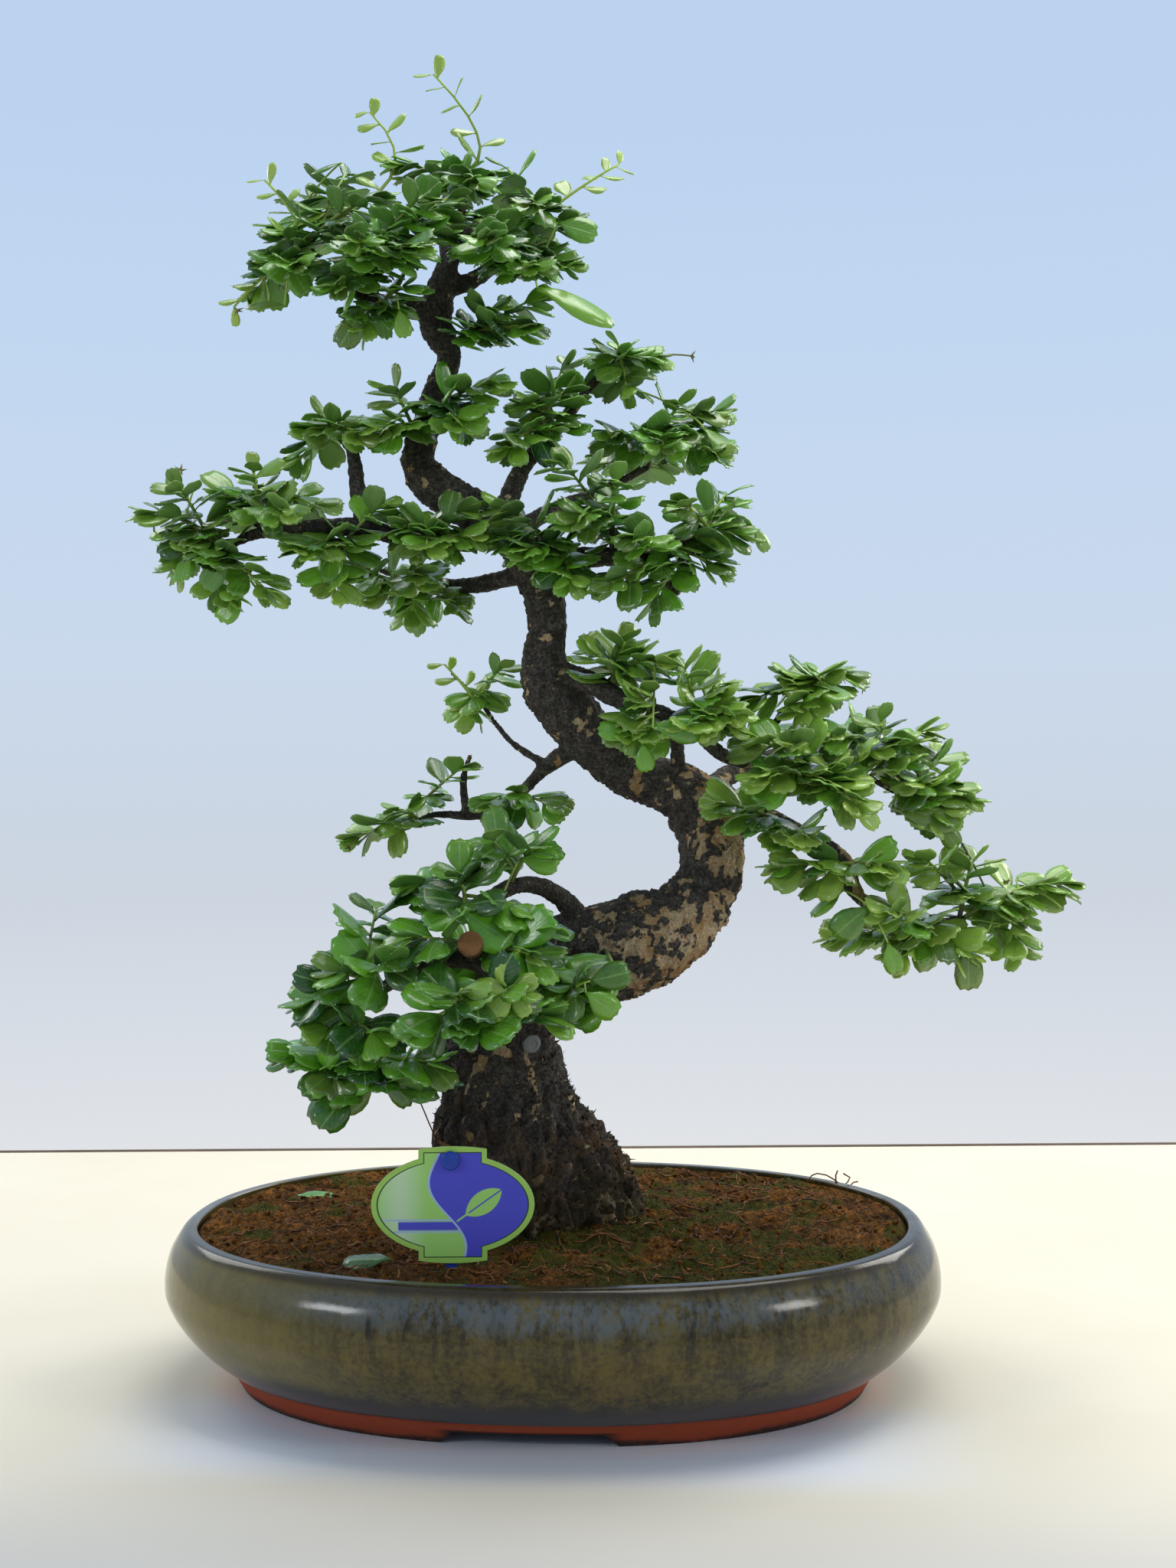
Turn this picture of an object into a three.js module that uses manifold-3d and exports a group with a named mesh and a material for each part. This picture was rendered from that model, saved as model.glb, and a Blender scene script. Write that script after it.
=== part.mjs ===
// A fukien tea bonsai planted in an oval glazed pot, with its plant label.
// Millimetres, +Z up. The pot's long side lies along X and its front faces -Y.

import * as THREE from 'three'
import { mergeVertices } from 'three/addons/utils/BufferGeometryUtils.js'
import Module from 'manifold-3d'

const wasm = await Module()
wasm.setup()
const { Manifold, Mesh: SolidMesh } = wasm

// Driving dimensions of the pot
const POT_HALF_LENGTH = 190
const POT_HALF_DEPTH = 144.5
const POT_HEIGHT = 77.3
const OVAL_POWER = 2.2
const POT_SIDES = 36
const DEPTH_INSET_RATIO = 1.03
const FOOT_HEIGHT = 11.5
const FLOOR_UNDERSIDE = 7
const FLOOR_TOP = 16
const FOOT_GAP_BOTTOM = 41
const FOOT_GAP_TOP = 34
const FOOT_GAP_HEIGHT = 6.4
const DRAIN_SPACING = 78
const DRAIN_RADIUS = 11
const DRAIN_SIDES = 12

// Driving dimensions of the fill, the mesh screens and the label
const CLEARANCE = 0.3
const SCREEN_SIZE = 34
const SCREEN_THICKNESS = 1.2
const SOIL_EDGE_HEIGHT = 75
const SOIL_RISE = 11
const CARD_WIDTH = 74
const CARD_HEIGHT = 52.5
const CARD_THICKNESS = 0.8
const CARD_TAB_HALF = 15.5
const STAKE_WIDTH = 5
const STAKE_THICKNESS = 2.2
const PEG_HEAD_RADIUS = 4.4
const PEG_RADIUS = 1.6

// Driving dimensions of the tree. The tree stands turned a little in its pot.
const TREE_TURN = THREE.MathUtils.degToRad(6)
const LEAF_LENGTH = 23
const LEAF_HALF_WIDTH = 6.3
const LEAF_THICKNESS = 0.85
const TWIG_RADIUS = 1.35
const TWIG_TIP_RADIUS = 1.15
const SHOWN_SHARE = 0.5
const FIRST_FORK = 0.25
const FORK_REACH = 0.35
const LEAF_ROOM = 2.4
const MIDDLE_LEAVES_AT = 0.68
const FOURTH_LEAF_SHARE = 0.08
const LEAFY_MIDDLE_SHARE = 0.5
const LEAST_LEAF = 0.86
const LEAF_SPREAD_IN_SIZE = 0.24
const PALE_LEAF_SCALE = 0.7

const UPWARD = new THREE.Vector3(0, 0, 1)

// Solids

function solidOf(points, triangles) {
  const vertProperties = new Float32Array(points.length * 3)
  points.forEach((point, index) => vertProperties.set([point.x, point.y, point.z], index * 3))
  return new Manifold(new SolidMesh({ numProp: 3, vertProperties, triVerts: new Uint32Array(triangles) }))
}

function solidFromGeometry(geometry) {
  const bare = geometry.index ? geometry.toNonIndexed() : geometry.clone()
  bare.deleteAttribute('normal')
  bare.deleteAttribute('uv')
  const merged = mergeVertices(bare, 1e-4)
  return new Manifold(new SolidMesh({
    numProp: 3,
    vertProperties: new Float32Array(merged.attributes.position.array),
    triVerts: new Uint32Array(merged.index.array),
  }))
}

function geometryFromSolid(solid) {
  const mesh = solid.getMesh()
  const geometry = new THREE.BufferGeometry()
  geometry.setAttribute('position', new THREE.BufferAttribute(new Float32Array(mesh.vertProperties), 3))
  geometry.setIndex(new THREE.BufferAttribute(new Uint32Array(mesh.triVerts), 1))
  return geometry
}

function joined(solids) {
  return solids.reduce((whole, solid) => whole.add(solid))
}

function largestBody(solid) {
  const bodies = solid.decompose()
  return bodies.reduce((best, body) => (body.volume() > best.volume() ? body : best))
}

// Rings of equal length, joined in order and closed at both ends by a fan to a middle point
function loft(rings, firstMiddle, lastMiddle) {
  const sides = rings[0].length
  const points = rings.flat()
  const triangles = []
  for (let ring = 0; ring + 1 < rings.length; ring += 1) {
    for (let side = 0; side < sides; side += 1) {
      const next = (side + 1) % sides
      const a = ring * sides + side
      const b = ring * sides + next
      const c = a + sides
      const d = b + sides
      triangles.push(a, b, d, a, d, c)
    }
  }
  const first = points.push(firstMiddle) - 1
  const last = points.push(lastMiddle) - 1
  const lastRing = (rings.length - 1) * sides
  for (let side = 0; side < sides; side += 1) {
    const next = (side + 1) % sides
    triangles.push(first, next, side)
    triangles.push(last, lastRing + side, lastRing + next)
  }
  return solidOf(points, triangles)
}

// Repeatable random numbers from 0 to 1
function randomFrom(seed) {
  let state = seed
  return () => {
    state = (state * 1664525 + 1013904223) % 4294967296
    return state / 4294967296
  }
}

// The pot

function ovalRing(halfLength, halfDepth, height, sides) {
  const ring = []
  for (let side = 0; side < sides; side += 1) {
    const angle = (side / sides) * Math.PI * 2
    const cosine = Math.cos(angle)
    const sine = Math.sin(angle)
    const power = 2 / OVAL_POWER
    ring.push(new THREE.Vector3(
      halfLength * Math.sign(cosine) * Math.abs(cosine) ** power,
      halfDepth * Math.sign(sine) * Math.abs(sine) ** power,
      height,
    ))
  }
  return ring
}

// The pot's section from the middle of its underside, over the rim, to the middle of its floor:
// how far it stands in from the widest oval, and its height
const FOOT_INSET = 36
const POT_SECTION = [
  [48, FLOOR_UNDERSIDE],
  [48, 0],
  [FOOT_INSET, 0],
  [30, FOOT_HEIGHT],
  [27.5, FOOT_HEIGHT + 1],
  [16.5, 22],
  [6.5, 34],
  [0.8, 45],
  [0, 54],
  [2.2, 65],
  [6.5, 73],
  [9.5, POT_HEIGHT - 0.5],
  [13, POT_HEIGHT],
  [15.5, POT_HEIGHT - 2],
  [9.5, 58],
  [10.5, 44],
  [19, 31],
  [44, FLOOR_TOP],
]

function potSolid() {
  const rings = POT_SECTION.map(([inset, height]) =>
    ovalRing(POT_HALF_LENGTH - inset, POT_HALF_DEPTH - inset * DEPTH_INSET_RATIO, height, POT_SIDES))
  const underside = new THREE.Vector3(0, 0, FLOOR_UNDERSIDE)
  const floor = new THREE.Vector3(0, 0, FLOOR_TOP)
  let pot = loft(rings, underside, floor)
  for (const side of [-1, 1]) {
    pot = pot.subtract(drainHole(side * DRAIN_SPACING))
    pot = pot.subtract(footGap(side))
  }
  return pot
}

function drainHole(x) {
  const hole = new THREE.CylinderGeometry(DRAIN_RADIUS, DRAIN_RADIUS, FLOOR_TOP * 2, DRAIN_SIDES)
  hole.rotateX(Math.PI / 2)
  hole.translate(x, 0, FLOOR_TOP)
  return solidFromGeometry(hole)
}

// The arched opening in the middle of the foot, at the front and at the back
function footGap(side) {
  const reach = 60
  const below = 1
  const outline = new THREE.Shape()
  outline.moveTo(-FOOT_GAP_BOTTOM - below, -below)
  outline.lineTo(FOOT_GAP_BOTTOM + below, -below)
  outline.lineTo(FOOT_GAP_TOP, FOOT_GAP_HEIGHT)
  outline.lineTo(-FOOT_GAP_TOP, FOOT_GAP_HEIGHT)
  const gap = new THREE.ExtrudeGeometry(outline, { depth: reach, bevelEnabled: false })
  gap.rotateX(Math.PI / 2)
  gap.translate(0, side > 0 ? POT_HALF_DEPTH : reach - POT_HALF_DEPTH, 0)
  return solidFromGeometry(gap)
}

// A square of plastic mesh over each drain hole
function screenSolid(x) {
  const cells = 2
  const rimInCells = 0.2
  const openShare = 0.78
  const pitch = SCREEN_SIZE / (cells + rimInCells)
  const opening = pitch * openShare
  const middleHeight = FLOOR_TOP + CLEARANCE + SCREEN_THICKNESS / 2
  const plate = new THREE.BoxGeometry(SCREEN_SIZE, SCREEN_SIZE, SCREEN_THICKNESS)
  plate.translate(x, 0, middleHeight)
  let screen = solidFromGeometry(plate)
  for (let column = 0; column < cells; column += 1) {
    for (let row = 0; row < cells; row += 1) {
      const cell = new THREE.BoxGeometry(opening, opening, SCREEN_THICKNESS * 3)
      cell.translate(x + (column - 0.5) * pitch, (row - 0.5) * pitch, middleHeight)
      screen = screen.subtract(solidFromGeometry(cell))
    }
  }
  return screen
}

// The tree's frame: x to the right and y away from the pot's front as the tree is looked at
function treePoint(x, y, z) {
  return new THREE.Vector3(x, y, z).applyAxisAngle(UPWARD, TREE_TURN)
}

// Centre line and radius of the trunk, from its buried base to its top
const TRUNK = [
  [-12, 0, 50, 48], [-10, 0, 66, 52], [-9, 0, 84, 53], [-14, 0, 101, 47], [-20, 0, 118, 40],
  [-22, 0, 133, 35], [-24, 0, 149, 31], [-26, 0, 165, 28], [-21, -2, 182, 28], [-8, -4, 196, 26.5],
  [10, -6, 203, 25.5], [31, -8, 209, 25], [50, -8, 216, 23.5], [67, -5, 226, 19], [77, -2, 240, 16],
  [81, 1, 256, 16.5], [78, 5, 273, 16.5], [68, 7, 286, 15], [51, 8, 293, 13], [37, 7, 298, 12.5],
  [23, 5, 312, 13.5], [11, 2, 326, 14.5], [1, -2, 340, 14], [-2, -5, 355, 10.8], [-1, -7, 372, 10],
  [-5, -8, 394, 11], [-11, -7, 407, 11], [-24, -5, 419, 10.6], [-42, 0, 431, 10.4], [-57, 3, 441, 10.4],
  [-64, 5, 453, 8.4], [-60, 5, 470, 7.4], [-54, 4, 488, 6.9], [-48, 1, 504, 6], [-54, -4, 518, 8.4],
  [-52, -4, 535, 7.2], [-47, -2, 552, 4.6], [-43, 0, 568, 3], [-40, 0, 581, 1.7],
]

// Centre line and radius of each limb, from inside what it grows from to its tip
const LIMBS = {
  crown_left: [[-55, -5, 525, 6.4], [-81, -16, 527, 4.1], [-103, -21, 537, 2.8], [-122, -22, 550, 1.6]],
  crown_right: [[-52, -5, 535, 4.9], [-36, 2, 542, 4.2], [-14, 11, 560, 2.5], [3, 14, 566, 1.6]],
  crown_back: [[-48, 0, 550, 3.8], [-52, 25, 570, 3.1], [-57, 50, 585, 2]],
  crown_front: [[-47, -4, 547, 3.8], [-40, -30, 553, 2.8], [-35, -55, 551, 1.7]],
  left_main: [
    [-20, -4, 414, 6.4], [-44, -18, 411, 5.6], [-66, -26, 411, 4.8], [-93, -30, 416, 4.4],
    [-121, -30, 415, 3.6], [-140, -28, 413, 2.8], [-154, -26, 407, 1.8],
  ],
  left_up: [[-88, -28, 414, 4.1], [-92, -18, 436, 4.1], [-96, -8, 457, 3], [-109, -4, 469, 1.7]],
  left_low: [[-10, -6, 396, 4.9], [-40, 8, 391, 4], [-66, 24, 395, 2.7], [-86, 34, 402, 1.6]],
  right_main: [[-6, -6, 399, 6.4], [16, -16, 402, 5.2], [46, -25, 403, 4], [69, -28, 411, 2.2]],
  right_stub: [[43, -24, 404, 4.1], [56, -26, 392, 3.3], [63, -28, 383, 2.8]],
  right_up: [
    [-22, -4, 424, 5.7], [-12, 8, 450, 4.4], [8, 19, 474, 3], [21, 24, 492, 2.3], [37, 26, 508, 1.4],
  ],
  right_back: [[-17, -4, 416, 4.9], [5, 26, 432, 3.9], [29, 44, 444, 2.8], [53, 54, 457, 1.8]],
  low_right: [
    [80, 2, 286, 9.2], [102, -9, 276, 6.2], [128, -23, 263, 5.2], [142, -26, 253, 5.2],
    [147, -26, 240, 4], [159, -24, 229, 2.7], [180, -20, 223, 2.2], [203, -16, 225, 1.5],
  ],
  low_right_top: [
    [4, -2, 346, 7.5], [19, -12, 342, 5.6], [40, -28, 330, 5.2], [55, -34, 324, 4.7],
    [70, -34, 318, 4], [83, -30, 306, 3.6], [104, -25, 300, 2.9], [132, -19, 298, 2.3],
    [154, -14, 295, 1.9], [171, -10, 286, 1.3],
  ],
  low_right_prop: [[64, 6, 294, 4.6], [63, -10, 309, 3.4], [59, -28, 321, 3.3]],
  low_right_rise: [[92, -27, 301, 2.6], [105, -22, 315, 2.2], [125, -14, 339, 1.5]],
  back_right: [
    [72, 6, 283, 7], [96, 40, 297, 5.1], [127, 62, 307, 4], [161, 76, 311, 2.5], [187, 84, 307, 1.7],
  ],
  left_small: [
    [18, 4, 314, 6], [-3, 17, 299, 3.8], [-15, 26, 287, 3], [-35, 32, 276, 2.7], [-60, 36, 276, 1.8],
    [-78, 38, 267, 1.3],
  ],
  left_small_up: [[0, 14, 301, 2.6], [-19, 22, 313, 1.7], [-36, 26, 335, 1.3], [-50, 28, 349, 1.1]],
  left_small_mid: [[-42, 33, 275, 2.6], [-44, 30, 293, 2], [-40, 28, 307, 1.4]],
  low_arc: [
    [15, -8, 222, 6.6], [6, -15, 236, 5], [-10, -28, 244, 4.2], [-24, -44, 241, 4],
    [-32, -53, 234, 3.6], [-40, -58, 229, 2.5],
  ],
  low_left: [
    [-10, -12, 190, 9.6], [-25, -40, 204, 6.2], [-40, -57, 211, 4.9], [-58, -62, 209, 4.2],
    [-72, -62, 202, 3.4], [-97, -54, 183, 1.5],
  ],
  low_front: [[-21, -20, 185, 8.2], [-28, -60, 188, 4.6], [-37, -84, 188, 2.8], [-44, -96, 188, 1.6]],
  low_low: [
    [-32, -14, 170, 6.6], [-49, -28, 161, 4.1], [-65, -36, 160, 2.7], [-86, -41, 158, 2.1],
    [-111, -42, 164, 1.5],
  ],
  low_stub: [[-26, -44, 204, 5.4], [-33, -66, 214, 5], [-36, -82, 220, 4.7]],
  base_stub: [[-40, -4, 149, 7.8], [-56, -8, 147, 5.8], [-64, -10, 147, 4.3]],
}

const TRUNK_SIDES = 11
const LIMB_SIDES = 6
const THIN_LIMB_SIDES = 4
const THIN_LIMB_RADIUS = 4.5
const TRUNK_LUMP = 0.036
const ROOT_FLARE = 0.16
const ROOT_FLARE_TOP = 135

function limbSides(limb) {
  return limb[0][3] > THIN_LIMB_RADIUS ? LIMB_SIDES : THIN_LIMB_SIDES
}

// Rings round a centre line, each square to it, with as little twist as can be.
// swell(side, sides, station) gives how far a point stands out from the plain radius.
function limbSolid(stations, sides, margin, swell) {
  const centres = stations.map(([x, y, z]) => treePoint(x, y, z))
  const rings = []
  let across = new THREE.Vector3(1, 0, 0)
  let heading = new THREE.Vector3()
  centres.forEach((centre, index) => {
    const before = centres[Math.max(index - 1, 0)]
    const after = centres[Math.min(index + 1, centres.length - 1)]
    heading = after.clone().sub(before).normalize()
    across = across.clone().addScaledVector(heading, -across.dot(heading))
    if (across.length() < 0.2) across.set(0, 1, 0).addScaledVector(heading, -heading.y)
    across.normalize()
    const other = heading.clone().cross(across)
    const radius = stations[index][3] + margin
    const ring = []
    for (let side = 0; side < sides; side += 1) {
      const angle = (side / sides) * Math.PI * 2
      const reach = radius * (1 + swell(side, sides, index))
      ring.push(centre.clone()
        .addScaledVector(across, reach * Math.cos(angle))
        .addScaledVector(other, reach * Math.sin(angle)))
    }
    rings.push(ring)
  })
  const tipRadius = stations[stations.length - 1][3]
  const lastMiddle = centres[centres.length - 1].clone().addScaledVector(heading, tipRadius * 0.4 + margin)
  const firstMiddle = centres[0].clone()
  return loft(rings, firstMiddle, lastMiddle)
}

function trunkSwell(side, sides, station) {
  const angle = (side / sides) * Math.PI * 2
  const lumps = TRUNK_LUMP * (Math.sin(3 * angle + station * 1.7) + Math.sin(5 * angle - station * 2.3))
  const nearGround = Math.max(0, (ROOT_FLARE_TOP - TRUNK[station][2]) / ROOT_FLARE_TOP)
  return lumps + ROOT_FLARE * nearGround * Math.cos(5 * angle + 0.6)
}

function noSwell() {
  return 0
}

function woodSolid(margin) {
  const trunk = limbSolid(TRUNK, TRUNK_SIDES, margin, trunkSwell)
  const limbs = Object.values(LIMBS).map((limb) => limbSolid(limb, limbSides(limb), margin, noSwell))
  return joined([trunk, ...limbs])
}

// The soil, mounded a little towards the trunk, with a plain hole for what stands in it
const MOUND_MIDDLE = { x: -5, y: 0 }
const MOUND_REACH = 120
const MOUND_LENGTH_TO_DEPTH = 1.25
const LARGE_RIPPLE = 1.1
const SMALL_RIPPLE = 0.7

function soilHeight(x, y) {
  const distance = Math.hypot(x - MOUND_MIDDLE.x, (y - MOUND_MIDDLE.y) * MOUND_LENGTH_TO_DEPTH)
  const mound = Math.max(0, 1 - distance / MOUND_REACH)
  const large = LARGE_RIPPLE * Math.sin(x * 0.071 + 1) * Math.cos(y * 0.083)
  const small = SMALL_RIPPLE * Math.sin(x * 0.15 - y * 0.12)
  return SOIL_EDGE_HEIGHT + SOIL_RISE * mound * mound * (3 - 2 * mound) + large + small
}

// The soil follows the inside of the pot's section, a little way off it
const SOIL_SECTION = [
  [42, FLOOR_TOP + SCREEN_THICKNESS + 2 * CLEARANCE],
  [19.6, 31.6],
  [11.1, 44.6],
  [10.1, 58],
  [15.3, 73.5],
]
const SOIL_MOUTH_INSET = 15.4
const SOIL_SURFACE_SCALES = [0.97, 0.82, 0.64, 0.46]

function soilSolid(standing) {
  const rings = SOIL_SECTION.map(([inset, height]) =>
    ovalRing(POT_HALF_LENGTH - inset, POT_HALF_DEPTH - inset * DEPTH_INSET_RATIO, height, POT_SIDES))
  const mouth = {
    x: POT_HALF_LENGTH - SOIL_MOUTH_INSET,
    y: POT_HALF_DEPTH - SOIL_MOUTH_INSET * DEPTH_INSET_RATIO,
  }
  for (const scale of SOIL_SURFACE_SCALES) {
    const ring = ovalRing(mouth.x * scale, mouth.y * scale, 0, POT_SIDES)
    ring.forEach((point) => point.setZ(soilHeight(point.x, point.y)))
    rings.push(ring)
  }
  const underside = new THREE.Vector3(0, 0, SOIL_SECTION[0][1])
  const crest = new THREE.Vector3(0, 0, soilHeight(0, 0))
  const body = loft(rings, underside, crest)
  return largestBody(standing.reduce((soil, solid) => soil.subtract(solid), body))
}

// The plant label: a card on a stake, held by the stake's round peg
const CARD_MIDDLE = { x: -45, y: -84, z: 102.5 }
const CARD_FACING = TREE_TURN * 0.8
const CARD_LEAN = THREE.MathUtils.degToRad(3)
const PEG_HEIGHT = 20
const STAKE_FOOT = -62
const STAKE_POINT_LENGTH = 14
const STAKE_POINT_HALF = 0.8
const STAKE_PAST_PEG = 4
const PEG_OFFSET = -1
const PEG_HEAD_THICKNESS = 1.6
const PEG_HEAD_CHAMFER = 0.4
const TAB_HEIGHT = 3.5
const TAB_CORNER_DROP = 1.2
const CARD_SIDE_STEPS = 8
const HOLE_SIDES = 10

function placeLabel(geometry) {
  const foot = treePoint(CARD_MIDDLE.x, CARD_MIDDLE.y, CARD_MIDDLE.z)
  geometry.rotateX(Math.PI / 2 - CARD_LEAN)
  geometry.rotateZ(CARD_FACING)
  geometry.translate(foot.x, foot.y, foot.z)
  return geometry
}

// Half an oval from the top tab to the bottom tab, on the given side
function cardSide(side) {
  const points = []
  const halfWidth = CARD_WIDTH / 2
  const halfHeight = CARD_HEIGHT / 2 - TAB_HEIGHT
  const firstAngle = Math.acos(CARD_TAB_HALF / halfWidth)
  for (let step = 0; step <= CARD_SIDE_STEPS; step += 1) {
    const angle = firstAngle * (1 - (2 * step) / CARD_SIDE_STEPS)
    points.push(new THREE.Vector2(side * halfWidth * Math.cos(angle), halfHeight * Math.sin(angle)))
  }
  return points
}

function cardOutline() {
  const tabCorner = new THREE.Vector2(CARD_TAB_HALF, CARD_HEIGHT / 2 - TAB_CORNER_DROP)
  const right = cardSide(1)
  const left = cardSide(-1).reverse()
  return [
    new THREE.Vector2(0, CARD_HEIGHT / 2),
    tabCorner,
    ...right,
    new THREE.Vector2(tabCorner.x, -tabCorner.y),
    new THREE.Vector2(0, -CARD_HEIGHT / 2),
    new THREE.Vector2(-tabCorner.x, -tabCorner.y),
    ...left,
    new THREE.Vector2(-tabCorner.x, tabCorner.y),
  ]
}

function cardSolid() {
  const outline = new THREE.Shape(cardOutline())
  const card = new THREE.ExtrudeGeometry(outline, { depth: CARD_THICKNESS, bevelEnabled: false })
  const holeRadius = PEG_RADIUS + CLEARANCE
  const hole = new THREE.CylinderGeometry(holeRadius, holeRadius, CARD_THICKNESS * 10, HOLE_SIDES)
  hole.rotateX(Math.PI / 2)
  hole.translate(PEG_OFFSET, PEG_HEIGHT, 0)
  return solidFromGeometry(placeLabel(card)).subtract(solidFromGeometry(placeLabel(hole)))
}

// A flat stake behind the card, narrowing into the soil, and the peg that passes through the card
function stakeSolid(margin) {
  const half = STAKE_WIDTH / 2 + margin
  const blade = new THREE.Shape()
  const pointHalf = STAKE_POINT_HALF + margin
  const top = PEG_HEIGHT + STAKE_PAST_PEG + margin
  blade.moveTo(PEG_OFFSET - half, top)
  blade.lineTo(PEG_OFFSET - half, STAKE_FOOT + STAKE_POINT_LENGTH)
  blade.lineTo(PEG_OFFSET - pointHalf, STAKE_FOOT - margin)
  blade.lineTo(PEG_OFFSET + pointHalf, STAKE_FOOT - margin)
  blade.lineTo(PEG_OFFSET + half, STAKE_FOOT + STAKE_POINT_LENGTH)
  blade.lineTo(PEG_OFFSET + half, top)
  const depth = STAKE_THICKNESS + 2 * margin
  const stake = new THREE.ExtrudeGeometry(blade, { depth, bevelEnabled: false })
  stake.translate(0, 0, -CLEARANCE - STAKE_THICKNESS - margin)
  if (margin > 0) return solidFromGeometry(placeLabel(stake))
  const overlap = 0.5
  const shaftLength = CARD_THICKNESS + 2 * CLEARANCE + 2 * overlap
  const shaft = new THREE.CylinderGeometry(PEG_RADIUS, PEG_RADIUS, shaftLength, 8)
  shaft.rotateX(Math.PI / 2)
  shaft.translate(PEG_OFFSET, PEG_HEIGHT, shaftLength / 2 - CLEARANCE - overlap)
  const headRadii = [PEG_HEAD_RADIUS, PEG_HEAD_RADIUS - PEG_HEAD_CHAMFER]
  const head = new THREE.CylinderGeometry(...headRadii, PEG_HEAD_THICKNESS, 14)
  head.rotateX(-Math.PI / 2)
  head.translate(PEG_OFFSET, PEG_HEIGHT, CARD_THICKNESS + CLEARANCE + PEG_HEAD_THICKNESS / 2)
  return joined([stake, shaft, head].map((piece) => solidFromGeometry(placeLabel(piece))))
}

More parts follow.
